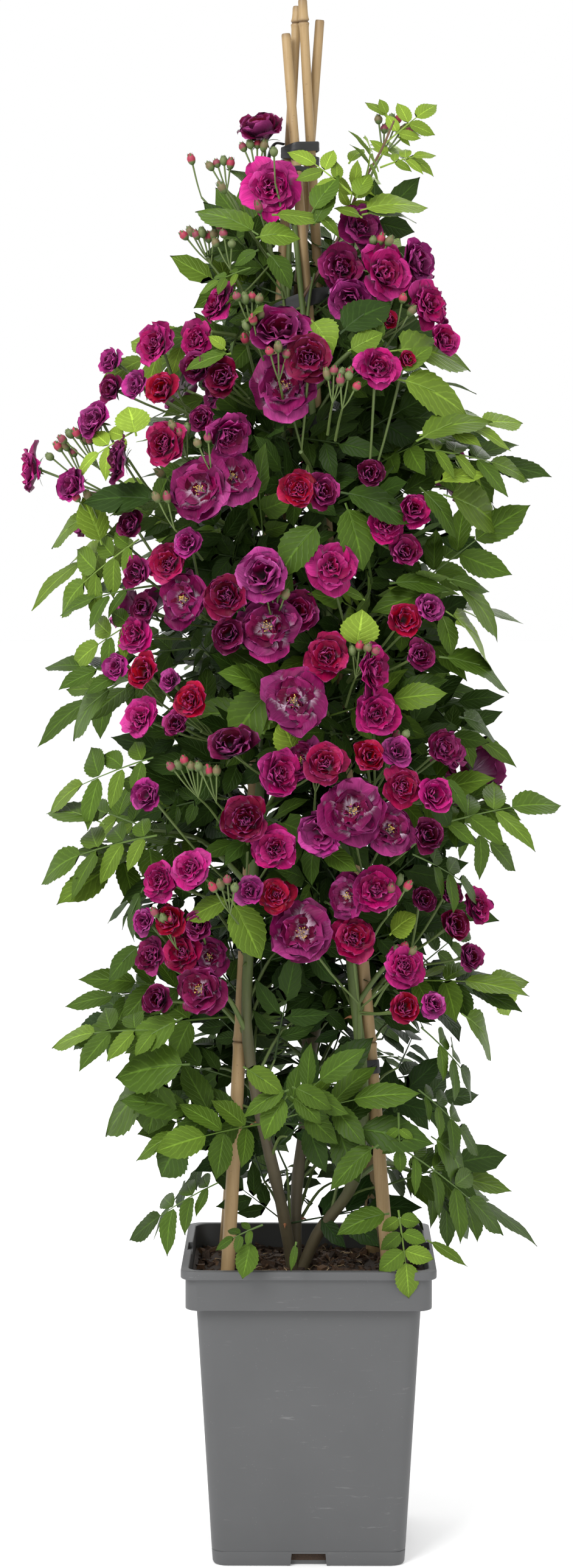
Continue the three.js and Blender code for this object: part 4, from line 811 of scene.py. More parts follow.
class Plan:
    """The whole plan of the plant, with the same rules and draws as the solids."""

    def __init__(self) -> None:
        """Places blooms, then the room they take, then the leafy stems and their leaves."""
        self.placed: list[tuple[np.ndarray, float]] = []
        self.room = Room()
        self.sprays = [self._front(rule, i) for i, rule in enumerate(FRONT_SPRAYS)]
        self.sprays += [self._back(rule, i) for i, rule in enumerate(BACK_SPRAYS)]
        for i, (spray, rule) in enumerate(zip(self.sprays, FRONT_SPRAYS + BACK_SPRAYS)):
            self._stems(spray, rule, Draws(SEED_SPRAY + i))
        for spray in self.sprays:
            for bloom in spray.blooms:
                self.room.add(bloom.centre[None], bloom.radius * BLOOM_CORE)
            stalks = [np.array((bloom.start, bloom.centre)) for bloom in spray.blooms]
            for path in [spray.side, *stalks, *spray.buds]:
                self.room.add_path(path, *STEM_ROOM)
        for path in LEADER_PATHS:
            self.room.add_path(path, LEADER_RADIUS[0], POLE_STEP)
        for cane in CANES:
            ends = np.array((cane_point(cane, SOIL_TOP), cane_point(cane, cane.top)))
            self.room.add_path(ends, CANE_RADIUS[0], POLE_STEP)
        self.leafy = [LeafyStem(f"leafy_stem_{i + 1}", stem_path(rule)) for i, rule in enumerate(LEAFY_STEMS)]
        path = smooth([on_leader(YOUNG_LEADER, YOUNG_Z), *(seen(*point) for point in YOUNG_POINTS)], 2)
        self.leafy.append(LeafyStem("young_shoot", path, young=True))
        for stem in self.leafy:
            self.room.add_path(stem.path[1:], *STEM_ROOM)
        for i, stem in enumerate(self.leafy):
            habit = LeafHabit(YOUNG_LENGTH, end=YOUNG_LAST, free=True) if stem.young else LeafHabit()
            count = YOUNG_LEAVES if stem.young else STEM_LEAVES
            stem.leaves = self.grow(stem.path, count, Draws(SEED_LEAF + i), habit)

    def _clear(self, radius: float, candidate: Callable[[int], np.ndarray]) -> np.ndarray:
        """Returns: the first of some places, tried in turn, that is clear of the blooms placed so far."""
        share, gap, _, tries = BLOOM_ROOM
        centre = candidate(0)
        for attempt in range(1, tries):
            crowded = any(
                float(np.linalg.norm(other - centre)) < share * (wide + radius) + gap
                for other, wide in self.placed
            )
            if not crowded:
                break
            centre = candidate(attempt)
        self.placed.append((centre, radius))
        return centre

    def _front(self, rule: SprayRule, index: int) -> Spray:
        """Returns: a spray of the front, each bloom on its sight line at the bush's depth."""
        blooms = []
        for b in rule.blooms:
            y = front_depth(b.column, b.row, rule.reach)
            radius = b.width / 2 * (y + DISTANCE) / FOCAL
            centre = self._clear(radius, lambda n: seen(b.column, b.row, y + n * BLOOM_ROOM[2]))
            turn = bearing_of(centre) * BLOOM_FACE[0] if b.turn is None else b.turn
            lift = BLOOM_FACE[1] if b.lift is None else b.lift
            blooms.append(Bloom(centre, radius, facing(turn, lift), b.hue, b.form))
        return Spray(f"front_spray_{index + 1}", f"{rule.slot}_petals", blooms)

    def _back(self, rule: BackRule, index: int) -> Spray:
        """Returns: a spray of the back, spread over an arc round its bearing."""
        draw = Draws(SEED_BACK + index)
        blooms = []
        for i in range(rule.blooms):
            across = i / (rule.blooms - 1) - 0.5
            turn = rule.bearing + across * BACK_ARC[0] + (draw() - 0.5) * BACK_ARC[1]
            height = rule.z + (draw() - 0.5) * 2 * BACK_HEIGHT
            reach = BUSH.radius(turn, height) * (BACK_REACH[0] - draw() * BACK_REACH[1])
            radius = mix(*BACK_RADIUS, draw())
            centre = self._clear(
                radius, lambda n: outward(turn) * (reach - n * BLOOM_ROOM[2]) + UP * height
            )
            normal = facing(turn + (draw() - 0.5) * BACK_FACE[0], BACK_FACE[1] + draw() * BACK_FACE[2])
            hue = BACK_HUES[(i * BACK_HUE_STEP + index) % len(BACK_HUES)]
            blooms.append(Bloom(centre, radius, normal, hue, BACK_FORMS[(i + index) % len(BACK_FORMS)]))
        return Spray(f"back_spray_{index + 1}", f"{rule.slot}_petals", blooms)

    def _stems(self, spray: Spray, rule: SprayRule | BackRule, draw: Draws) -> None:
        """Adds the side shoot from its leading stem to a hub, and the stalk of each bloom and bud."""
        middle = sum(bloom.centre for bloom in spray.blooms) / len(spray.blooms)
        hub = middle * (LATERAL_INWARD, LATERAL_INWARD, 1) - UP * LATERAL_LOWER
        start = on_leader(rule.leader, max(hub[2] - LATERAL_RISE, LATERAL_LOWEST))
        spray.side = np.array((start, (start + hub) / 2 + UP * LATERAL_BEND, hub))
        for i, bloom in enumerate(spray.blooms):
            bloom.start = along(spray.side, mix(*STALK_SHARES, i / len(spray.blooms)))
        out = unit(hub * (1, 1, 0))
        for i in range(rule.buds):
            ahead = out * (BUD_WAY[0] + draw())
            way = unit(ahead + np.array((draw() - 0.5, draw() - 0.5, BUD_WAY[1] + draw())))
            root = along(spray.side, BUD_SHARES[0] - BUD_SHARES[1] * i)
            neck = root + way * BUD_REACH * (1 + draw())
            widest = neck + way * BUD_LENGTH * BUD_WIDEST
            spray.buds.append(np.array((root, neck, widest, neck + way * BUD_LENGTH)))

    def grow(self, path: np.ndarray, count: int, draw: Draws, habit: LeafHabit) -> list[Leaf]:
        """Args: path: the stem. count: how many leaves. draw: seeded draws. habit: how they stand.

        Returns: leaves set in turn to the left and right, each in the first drawn place that is clear.
        """
        leaves = []
        for i in range(count):
            share = mix(habit.start, habit.end, i / max(count - 1, 1))
            base = along(path, share)
            ahead = unit(along(path, share + STEM_LOOK[0]) - along(path, share - STEM_LOOK[1]))
            sign = 1 if i % 2 == 0 else -1
            level = unit(np.cross(UP, ahead))
            for _ in range(habit.tries):
                leaf = self._leaf(base, ahead, level, sign if i < count - 1 else 0, draw, habit)
                samples = leaf.samples()
                clear = habit.free or not outside(samples)
                if clear and not self.room.touched(samples, habit.room):
                    self.room.add(samples, habit.room)
                    leaves.append(leaf)
                    break
        return leaves

    def _leaf(
        self, base: np.ndarray, ahead: np.ndarray, level: np.ndarray, sign: int, draw: Draws, habit: LeafHabit
    ) -> Leaf:
        """Returns: a leaf that leaves its stem ahead and to one side, and faces out, up and forward."""
        aside = draw()
        turn = (aside - 0.5) * LEAF_WAY[4] if sign == 0 else sign * (LEAF_WAY[2] + aside * LEAF_WAY[3])
        onward = ahead * (LEAF_WAY[0] + draw() * LEAF_WAY[1])
        lift = UP * (LEAF_LIFT[0] - draw() * LEAF_LIFT[1])
        way = unit(onward + level * turn + lift)
        out = unit((base + way) * (1, 1, 0))
        sway = (draw() - 0.5) * LEAF_FACE[4]
        front = np.array((-out[1] * sway, out[0] * sway - LEAF_FACE[2], LEAF_FACE[3]))
        face = out * (LEAF_FACE[0] + draw() * LEAF_FACE[1]) + front
        normal = unit(face - way * float(np.dot(face, way)))
        size = mix(*habit.lengths, draw())
        pairs = 2 if draw() < habit.two_pairs else 1
        return Leaf(base, way, normal, size, pairs)


def stem_path(rule: StemRule, reach: float = STEM_REACH) -> np.ndarray:
    """Returns: a leafy stem from its leader out to its tip in one arch."""
    start = on_leader(rule.leader, rule.z)
    tip = outward(rule.bearing) * BUSH.radius(rule.bearing, rule.tip) * reach + UP * rule.tip
    bend = (start + tip) / 2 + UP * float(np.linalg.norm(tip - start)) * STEM_ARCH
    return np.array((start, bend, tip))


class Value:
    """A socket of a material. Arithmetic on it adds Math nodes."""

    def __init__(self, graph: "Graph", socket: bpy.types.NodeSocket) -> None:
        """Args: graph: the material's graph. socket: an output of one of its nodes."""
        self.graph = graph
        self.socket = socket

    def _math(self, operation: str, a: "Value | float", b: "Value | float") -> "Value":
        """Returns: the result of a Math node."""
        return self.graph.node("ShaderNodeMath", {"operation": operation}, {0: a, 1: b})

    def __add__(self, other: "Value | float") -> "Value":
        """Returns: self + other."""
        return self._math("ADD", self, other)

    __radd__ = __add__

    def __sub__(self, other: "Value | float") -> "Value":
        """Returns: self - other."""
        return self._math("SUBTRACT", self, other)

    def __rsub__(self, other: float) -> "Value":
        """Returns: other - self."""
        return self._math("SUBTRACT", other, self)

    def __mul__(self, other: "Value | float") -> "Value":
        """Returns: self * other."""
        return self._math("MULTIPLY", self, other)

    __rmul__ = __mul__

    def __pow__(self, other: float) -> "Value":
        """Returns: self to the power of other."""
        return self._math("POWER", self, other)

    def __mod__(self, other: float) -> "Value":
        """Returns: the floored remainder of self over other."""
        return self._math("FLOORED_MODULO", self, other)

    def __abs__(self) -> "Value":
        """Returns: the size of self without its sign."""
        return self._math("ABSOLUTE", self, 0.0)

    def sine(self) -> "Value":
        """Returns: the sine of self in radians."""
        return self._math("SINE", self, 0.0)

    def step(self, start: float, end: float) -> "Value":
        """Returns: 0 before start and 1 after end, with a soft slope between, in either direction."""
        low, high = min(start, end), max(start, end)
        settings = {"interpolation_type": "SMOOTHSTEP"}
        inputs = {"Value": self, "From Min": low, "From Max": high}
        inputs |= {"To Min": 0.0 if start < end else 1.0, "To Max": 1.0 if start < end else 0.0}
        return self.graph.node("ShaderNodeMapRange", settings, inputs)


Colour = tuple[float, float, float]


class Graph:
    """The node graph of one material, with its Principled shader."""

    def __init__(self, name: str) -> None:
        """Args: name: the material's name."""
        self.material = bpy.data.materials.new(name)
        self.material.use_nodes = True
        self.tree = self.material.node_tree
        self.shader = self.tree.nodes["Principled BSDF"]
        self.object = self.node("ShaderNodeTexCoord", {}, {}, "Object")

    def node(self, kind: str, settings: dict, inputs: dict, out: int | str = 0) -> Value:
        """Args: kind: the node's type. settings: its properties. inputs: numbers, colours or values by
        socket. out: which output is wanted.

        Returns: that output.
        """
        made = self.tree.nodes.new(kind)
        for name, value in settings.items():
            setattr(made, name, value)
        for name, value in inputs.items():
            self.feed(made.inputs[name], value)
        return Value(self, made.outputs[out])

    def feed(self, socket: bpy.types.NodeSocket, value: "Value | float | Colour") -> None:
        """Links or sets one input socket."""
        if isinstance(value, Value):
            self.tree.links.new(value.socket, socket)
        elif isinstance(value, tuple) and socket.type == "RGBA":
            socket.default_value = (*value, 1.0)
        else:
            socket.default_value = value

    def mix(self, share: "Value | float", a: "Value | Colour", b: "Value | Colour") -> Value:
        """Returns: the colour at a share of the way from a to b."""
        return self.node("ShaderNodeMix", {"data_type": "RGBA"}, {0: share, 6: a, 7: b}, 2)

    def shade(self, colour: "Value | Colour", amount: "Value | float") -> Value:
        """Returns: a colour made lighter or darker by an amount round 1."""
        return self.node("ShaderNodeVectorMath", {"operation": "SCALE"}, {0: colour, "Scale": amount})

    def stretch(self, vector: Value, scale: Colour) -> Value:
        """Returns: coordinates scaled along each axis."""
        return self.node("ShaderNodeVectorMath", {"operation": "MULTIPLY"}, {0: vector, 1: scale})

    def noise(self, vector: Value, scale: float, detail: float = 3.0, rough: float = 0.55) -> Value:
        """Returns: noise between 0 and 1 at a scale."""
        inputs = {"Vector": vector, "Scale": scale, "Detail": detail, "Roughness": rough}
        return self.node("ShaderNodeTexNoise", {}, inputs, "Fac")

    def cells(self, vector: Value, scale: float) -> Value:
        """Returns: the distance to the nearest of many scattered points."""
        return self.node("ShaderNodeTexVoronoi", {}, {"Vector": vector, "Scale": scale}, "Distance")

    def attribute(self, name: str, out: str) -> Value:
        """Returns: an attribute of the mesh."""
        return self.node("ShaderNodeAttribute", {"attribute_name": name}, {}, out)

    def uv(self) -> tuple[Value, Value]:
        """Returns: the two parts of the piece's own UV map."""
        place = self.node("ShaderNodeUVMap", {"uv_map": "UVMap"}, {})
        parts = self.tree.nodes.new("ShaderNodeSeparateXYZ")
        self.tree.links.new(place.socket, parts.inputs[0])
        return Value(self, parts.outputs[0]), Value(self, parts.outputs[1])

    def dress(self, colour: "Value | Colour", rough: "Value | float", height: Value | None = None,
              strength: float = 0.3, depth: float = 0.0005, **uniform: float | Colour) -> bpy.types.Material:
        """Args: colour, rough: what feeds the shader. height: relief. strength, depth: how strong it is,
        in metres. uniform: sockets with one value all over, by name with _ for a blank.

        Returns: the finished material.
        """
        self.feed(self.shader.inputs["Base Color"], colour)
        self.feed(self.shader.inputs["Roughness"], rough)
        if height is not None:
            inputs = {"Height": height, "Strength": strength, "Distance": depth}
            self.feed(self.shader.inputs["Normal"], self.node("ShaderNodeBump", {}, inputs, "Normal"))
        for name, value in uniform.items():
            self.feed(self.shader.inputs[name.replace("_", " ")], value)
        return self.material


@dataclass(frozen=True)
class PetalFinish:
    """Velvet petals: the mesh's own colour, fine lengthwise veins, a pale foot and a paler back, with painted
    shade that deepens towards each petal's foot and a painted highlight along its tip.
    """

    name: str = "rose_petal"
    veins: float = 20.0
    foot: Colour = (0.72, 0.56, 0.68)
    # the paler back's colour, and also the colour of the painted highlight along the petals' tips
    bloom: Colour = (0.44, 0.08, 0.30)
    back: float = 0.2

    def material(self) -> bpy.types.Material:
        """Returns: the material. The veins are noise stretched along the petal."""
        g = Graph(self.name)
        across, ahead = g.uv()
        vector = g.node("ShaderNodeCombineXYZ", {}, {0: across * self.veins, 1: ahead * 2.2})
        streaks = g.noise(vector, 1.0, 2.0)
        tint = g.attribute("tint", "Color")
        pale = g.attribute("tint", "Alpha")
        under = g.attribute("under", "Fac")
        # painted shade: each petal darkens towards its foot in the heart of the bloom and grows lighter
        # towards its tip
        face = g.shade(tint, (0.25 + streaks * 0.95) * (0.15 + ahead * 1.15))
        colour = g.mix(under * self.back, face, self.bloom)
        foot = pale * (ahead + streaks * 0.35 - 0.17).step(0.62, 0.12)
        colour = g.mix(foot, colour, self.foot)
        # painted highlight: a pale band along each petal's tip
        colour = g.mix((ahead + streaks * 0.1).step(0.93, 1.04) * 0.35, colour, self.bloom)
        return g.dress(colour, 0.5 - streaks * 0.14, streaks, 0.35, 0.0005, Specular_IOR_Level=0.07)


@dataclass(frozen=True)
class LeafFinish:
    """Satin leaves: the mesh's own green, a pale midrib, side veins in relief and a paler underside."""

    name: str = "rose_leaf"
    under: Colour = (0.10, 0.16, 0.05)

    def material(self) -> bpy.types.Material:
        """Returns: the material. Side veins are a wave that leans outwards from the midrib."""
        g = Graph(self.name)
        across, ahead = g.uv()
        off = abs(across % 1.0 - 0.5) * 2.0
        tint = g.attribute("tint", "Color")
        blotch = g.noise(g.object, 90.0, 3.0)
        veins = ((ahead * 44.0 - off * 16.0).sine() * 0.5 + 0.5) ** 6.0
        colour = g.shade(tint, 0.72 + blotch * 0.44 + veins * 0.3 + off.step(0.09, 0.02) * 0.8)
        under = g.attribute("under", "Fac")
        colour = g.mix(under * 0.5, colour, self.under)
        relief = blotch * 0.4 - veins * 0.7 - off.step(0.12, 0.0)
        return g.dress(colour, 0.5 + under * 0.2 - blotch * 0.08, relief, 0.6, 0.0006,
                       Specular_IOR_Level=0.1)


@dataclass(frozen=True)
class StemFinish:
    """Rose stems: the mesh's own colour with lengthwise flecks."""

    name: str = "rose_stem"

    def material(self) -> bpy.types.Material:
        """Returns: the material. Flecks are noise stretched along the stem."""
        g = Graph(self.name)
        tint = g.attribute("tint", "Color")
        flecks = g.noise(g.stretch(g.object, (1.0, 1.0, 0.22)), 420.0, 4.0)
        broad = g.noise(g.object, 45.0, 2.0)
        colour = g.shade(tint, 0.6 + flecks * 0.5 + broad * 0.3)
        return g.dress(colour, 0.5 + flecks * 0.2, flecks, 0.35, 0.0004)


@dataclass(frozen=True)
class BambooFinish:
    """Dry bamboo: straw colour with fine grain, darker streaks and brown at the knots."""

    name: str = "bamboo_cane"
    pale: Colour = (0.38, 0.265, 0.125)
    deep: Colour = (0.23, 0.14, 0.055)
    knot: Colour = (0.09, 0.05, 0.022)

    def material(self) -> bpy.types.Material:
        """Returns: the material. The mesh's tint says how near a knot each point is."""
        g = Graph(self.name)
        near = g.attribute("tint", "Fac")
        grain = g.noise(g.stretch(g.object, (1.0, 1.0, 0.02)), 900.0, 3.0)
        broad = g.noise(g.stretch(g.object, (1.0, 1.0, 0.25)), 60.0, 3.0)
        colour = g.mix(grain * 0.5 + broad * 0.5, self.pale, self.deep)
        spots = g.noise(g.object, 260.0, 4.0).step(0.64, 0.74)
        colour = g.mix(spots * 0.5, colour, self.knot)
        colour = g.mix(near * 0.85, colour, self.knot)
        return g.dress(colour, 0.42 + grain * 0.25, grain, 0.3, 0.0004)


@dataclass(frozen=True)
class PlasticFinish:
    """Grey moulded plastic: satin, with faint scuffs and dust specks."""

    name: str = "pot_plastic"
    base: Colour = (0.070, 0.071, 0.073)
    scuff: Colour = (0.20, 0.20, 0.20)
    specks: float = 0.35

    def material(self) -> bpy.types.Material:
        """Returns: the material. Scuffs are thin bands of noise, and dust is small cells."""
        g = Graph(self.name)
        cloud = g.noise(g.object, 14.0, 4.0)
        fine = g.noise(g.object, 900.0, 2.0)
        drag = g.noise(g.stretch(g.object, (1.0, 1.0, 7.0)), 38.0, 5.0, 0.65)
        scuffs = drag.step(0.62, 0.72) * cloud.step(0.42, 0.62)
        dust = g.cells(g.object, 330.0).step(0.16, 0.05) * g.noise(g.object, 60.0, 2.0).step(0.5, 0.66)
        colour = g.shade(self.base, 0.86 + cloud * 0.28)
        colour = g.mix(scuffs * 0.4, colour, self.scuff)
        colour = g.mix(dust * self.specks, colour, self.scuff)
        return g.dress(colour, 0.44 + cloud * 0.12 + scuffs * 0.2, fine + drag * 0.4, 0.12, 0.0004)


@dataclass(frozen=True)
class SoilFinish:
    """Damp bark and peat: the mesh's own colour with crumbly grain."""

    name: str = "soil_chips"

    def material(self) -> bpy.types.Material:
        """Returns: the material."""
        g = Graph(self.name)
        tint = g.attribute("tint", "Color")
        grain = g.noise(g.object, 700.0, 5.0)
        colour = g.shade(tint, 0.45 + grain * 1.1)
        return g.dress(colour, 0.85, grain, 0.8, 0.001)


@dataclass(frozen=True)
class StrapFinish:
    """Soft black strap: dull, with a fine ribbed skin."""

    name: str = "black_strap_skin"
    base: Colour = (0.012, 0.012, 0.013)

    def material(self) -> bpy.types.Material:
        """Returns: the material."""
        g = Graph(self.name)
        ribs = g.noise(g.stretch(g.object, (1.0, 1.0, 9.0)), 160.0, 2.0)
        return g.dress(g.shade(self.base, 0.6 + ribs * 0.9), 0.42 + ribs * 0.2, ribs, 0.3, 0.0003)


def quads(grid: np.ndarray) -> np.ndarray:
    """Returns: the four corners of each face of a grid of vertex numbers, rows first."""
    return np.stack((grid[:-1, :-1], grid[1:, :-1], grid[1:, 1:], grid[:-1, 1:]), axis=-1).reshape(-1, 4)


def rails(paths: np.ndarray) -> tuple[np.ndarray, np.ndarray]:
    """Args: paths: points of several paths, by path and row.

    Returns: two directions across each path at each point, carried along it without twist.
    """
    ahead = unit(np.gradient(paths, axis=1))
    side = np.where(np.abs(ahead[:, 0, :1]) < STEEP, RIGHT, BACK)
    sides = np.empty_like(paths)
    for i in range(paths.shape[1]):
        side = unit(side - ahead[:, i] * (side * ahead[:, i]).sum(axis=1, keepdims=True))
        sides[:, i] = side
    return sides, np.cross(ahead, sides)


class Piece:
    """A mesh gathered from patches and written as one object. Lengths are in millimetres."""

    def __init__(self, name: str) -> None:
        """Args: name: the object's name."""
        self.name = name
        self.points: list[np.ndarray] = []
        self.uv: list[np.ndarray] = []
        self.tint: list[np.ndarray] = []
        self.faces: list[np.ndarray] = []
        self.under: list[np.ndarray] = []
        self.slots: list[np.ndarray] = []
        self.count = 0

    def add(self, points: np.ndarray, faces: Sequence[np.ndarray], tint: np.ndarray | Sequence[float],
            uv: np.ndarray | None = None, under: Sequence[float] | None = None, slot: int = 0) -> None:
        """Args: points: vertices. faces: arrays of faces, each with one number of corners. tint: red,
        green, blue and one more, for each vertex or for all. uv: for each vertex. under: for each array
        of faces, whether it is an underside. slot: the material's number.
        """
        n = len(points)
        self.points.append(points)
        self.uv.append(np.zeros((n, 2)) if uv is None else uv)
        self.tint.append(np.broadcast_to(np.asarray(tint, float), (n, 4)))
        for k, group in enumerate(faces):
            self.faces.append(group + self.count)
            self.under.append(np.full(len(group), 0.0 if under is None else under[k]))
            self.slots.append(np.full(len(group), slot))
        self.count += n

    def add_shells(self, top: np.ndarray, down: np.ndarray, uv: np.ndarray, tint: np.ndarray,
                   slot: int = 0) -> None:
        """Adds closed thin blades: a grid of points for each, and a lower side that shares its rim. Both
        sides are split along the same diagonals, so they never cross.

        Args: top: points by blade, row and column. down: the way to the lower side at each point. uv: by
        blade, row and column. tint: four numbers for each blade. slot: the material's number.
        """
        n, rows, columns, _ = top.shape
        grid = np.arange(rows * columns).reshape(rows, columns)
        lower = grid.copy()
        lower[1:-1, 1:-1] = rows * columns + np.arange((rows - 2) * (columns - 2)).reshape(rows - 2, -1)
        inner = (slice(None), slice(1, -1), slice(1, -1))
        points = np.concatenate((top.reshape(n, -1, 3), (top + down)[inner].reshape(n, -1, 3)), axis=1)
        places = np.concatenate((uv.reshape(n, -1, 2), uv[inner].reshape(n, -1, 2)), axis=1)
        each = points.shape[1]
        start = (np.arange(n) * each)[:, None, None]
        upper_faces = (quads(grid)[:, SPLIT][None] + start[..., None]).reshape(-1, 3)
        lower_faces = (quads(lower)[:, SPLIT][None, ..., ::-1] + start[..., None]).reshape(-1, 3)
        tints = np.repeat(tint, each, axis=0)
        self.add(points.reshape(-1, 3), (upper_faces, lower_faces), tints, places.reshape(-1, 2),
                 (0.0, 1.0), slot)

    def add_bars(self, paths: np.ndarray, radii: np.ndarray, sides: int, tint: np.ndarray | Sequence[float],
                 slot: int = 0, flat: float = 1.0) -> None:
        """Adds closed round bars: a ring of points round each path at each of its points.

        Args: paths: points by bar and row. radii: by bar and row. sides: points of a ring. tint: four
        numbers for all, for each bar, or for each bar and row. slot: the material's number. flat: width
        over thickness.
        """
        n, rows, _ = paths.shape
        side, other = rails(paths)
        side = side * flat
        angle = np.arange(sides) * TURN / sides
        ring = np.cos(angle)[:, None] * side[:, :, None] + np.sin(angle)[:, None] * other[:, :, None]
        points = paths[:, :, None] + ring * radii[:, :, None, None]
        grid = np.arange(rows * sides).reshape(rows, sides)
        wrapped = np.concatenate((grid, grid[:, :1]), axis=1)
        start = (np.arange(n) * rows * sides)[:, None, None]
        walls = (quads(wrapped)[None, :, ::-1] + start).reshape(-1, 4)
        foot = (grid[0][::-1] + start[:, 0]).reshape(n, sides)
        head = (grid[-1] + start[:, 0]).reshape(n, sides)
        around = np.broadcast_to(np.arange(sides) / sides, (n, rows, sides))
        ahead = np.broadcast_to(np.linspace(0, 1, rows)[None, :, None], (n, rows, sides))
        places = np.stack((around, ahead), axis=-1).reshape(-1, 2)
        tints = np.asarray(tint, float)
        tints = np.broadcast_to(tints[:, None] if tints.ndim == 2 else tints, (n, rows, 4))
        spread = np.repeat(tints[:, :, None, :], sides, axis=2).reshape(-1, 4)
        self.add(points.reshape(-1, 3), (walls, foot, head), spread, places, slot=slot)

    def add_stem(self, points: Sequence[Sequence[float]], steps: int, radii: tuple[float, float], sides: int,
                 tint: Sequence[float]) -> None:
        """Args: points: a path's own points. steps: how many lie between each two. radii: at both ends.
        sides: points of a ring. tint: four numbers. The stem has the second material.
        """
        path = smooth(points, steps)
        self.add_bars(path[None], np.linspace(*radii, len(path))[None], sides, tint, 1)

    def make(self, materials: Sequence[bpy.types.Material], nodes: Sequence[str] = (),
             angle: float = 60.0) -> bpy.types.Object:
        """Args: materials: in the order of their numbers. nodes: the CAD nodes that the piece stands for.
        angle: edges sharper than this stay sharp, in degrees.

        Returns: the object, which rides on the part.
        """
        mesh = bpy.data.meshes.new(self.name)
        sizes = np.concatenate([np.full(len(f), f.shape[1]) for f in self.faces])
        corners = np.concatenate([f.ravel() for f in self.faces])
        mesh.vertices.add(self.count)
        mesh.vertices.foreach_set("co", (np.concatenate(self.points) * MM).ravel())
        mesh.loops.add(len(corners))
        mesh.loops.foreach_set("vertex_index", corners)
        mesh.polygons.add(len(sizes))
        mesh.polygons.foreach_set("loop_start", np.concatenate(([0], np.cumsum(sizes)[:-1])))
        mesh.polygons.foreach_set("material_index", np.concatenate(self.slots))
        mesh.polygons.foreach_set("use_smooth", np.ones(len(sizes), bool))
        mesh.update(calc_edges=True)
        mesh.uv_layers.new(name="UVMap").data.foreach_set("uv", np.concatenate(self.uv)[corners].ravel())
        tint = mesh.attributes.new("tint", "FLOAT_COLOR", "POINT")
        tint.data.foreach_set("color", np.concatenate(self.tint).ravel())
        under = mesh.attributes.new("under", "FLOAT", "FACE")
        under.data.foreach_set("value", np.concatenate(self.under))
        mesh.set_sharp_from_angle(angle=math.radians(angle))
        for material in materials:
            mesh.materials.append(material)
        return install(bpy.data.objects.new(self.name, mesh), nodes)


def install(piece: bpy.types.Object, nodes: Sequence[str]) -> bpy.types.Object:
    """Puts a finished object in the scene: it rides on the part, and stands for some CAD nodes.

    Args: piece: the object. nodes: the CAD nodes.

    Returns: the object.
    """
    bpy.context.scene.collection.objects.link(piece)
    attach(piece, "root")
    if nodes:
        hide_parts(*nodes)
    triangles = sum(len(p.vertices) - 2 for p in piece.data.polygons)
    LOG.info("%s: %d triangles", piece.name, triangles)
    return piece


SPLIT = np.array(((0, 1, 2), (0, 2, 3)))
STEM_GREEN = (0.085, 0.125, 0.028, 0.0)
STEM_RED = (0.11, 0.055, 0.025, 0.0)
STEM_WOOD = (0.075, 0.060, 0.030, 0.0)
SEPAL_GREEN = (0.075, 0.115, 0.028, 0.0)
STAMEN = (0.62, 0.42, 0.10, 0.0)
BUD_TIPS = ((0.30, 0.02, 0.05), (0.13, 0.10, 0.04), (0.20, 0.03, 0.05), (0.10, 0.13, 0.04))
SPREADS = {Form.ROSETTE: 1.16, Form.OPEN: 1.2, Form.CUP: 1.3, Form.OPENING: 1.25}
PALE_FEET = {Form.OPEN: 0.95, Form.ROSETTE: 0.4}
PALE_FOOT = 0.2

# Petals: the grid of a petal, how thick it is, and how colours change from the outer to the inner ones, with
# painted shade that darkens the inner ones.
PETAL_ROWS = np.array((0.0, 0.26, 0.52, 0.76, 0.92, 1.0))
PETAL_COLUMNS = np.array((-1.0, -0.55, 0.0, 0.55, 1.0))
PETAL_THICKNESS = 0.3
BLADE_UV = 0.48
TINT_INNER = (1.6, 0.15)
TINT_FADE = (0.25, 0.25, 0.8)
TINT_SHADE = (0.6, 1.5)
# painted shade: brightness of the outermost petals and how much the inner ones lose
TINT_PAINTED_SHADE = (1.05, 0.25)

# Sepals: reach, first and last angle in degrees and half width in millimetres, on a bloom and on a bud.
SEPALS = 5
SEPAL_COLUMNS = np.array((-1.0, 0.0, 1.0))
SEPAL_FOOT = 0.8
BLOOM_SEPALS = (0.72, (10, -35), 1.6)
BUD_SEPALS = (0.95, (62, 100), 2.1)

# The hip's radii and the radius of the bloom that has them, and a bud's stalk and egg, in millimetres.
HIP_RADII = np.array((1.2, 2.0, 2.5, 2.4, 1.4))
HIP_BLOOM = 16.0
HIP_MOST = 1.2
BUD_STALK = (0.6, 0.85)
BUD_SAG = 1.5
EGG_SHARES = np.array((0.0, 0.12, 0.25, 0.4, 0.55, 0.7, 0.84, 0.95, 1.0))
EGG_RADII = np.array((0.25, 0.62, 0.8, 0.9, 0.95, 0.82, 0.58, 0.3, 0.1)) * 4.0
EGG_NECK = 0.12
EGG_GREEN = 0.3

STAMENS = 22
STAMEN_LEAN = (0.1, 0.75)
STAMEN_REACH = (0.34, 0.46)
STAMEN_SHARES = np.array((0.0, 0.8, 0.88, 0.97, 1.0))[None, :, None]
STAMEN_RADII = (0.16, 0.14, 0.45, 0.45, 0.15)
STAMEN_TINTS = ((0.7, 0.55, 0.5, 0), (0.7, 0.5, 0.4, 0), STAMEN, STAMEN, STAMEN)


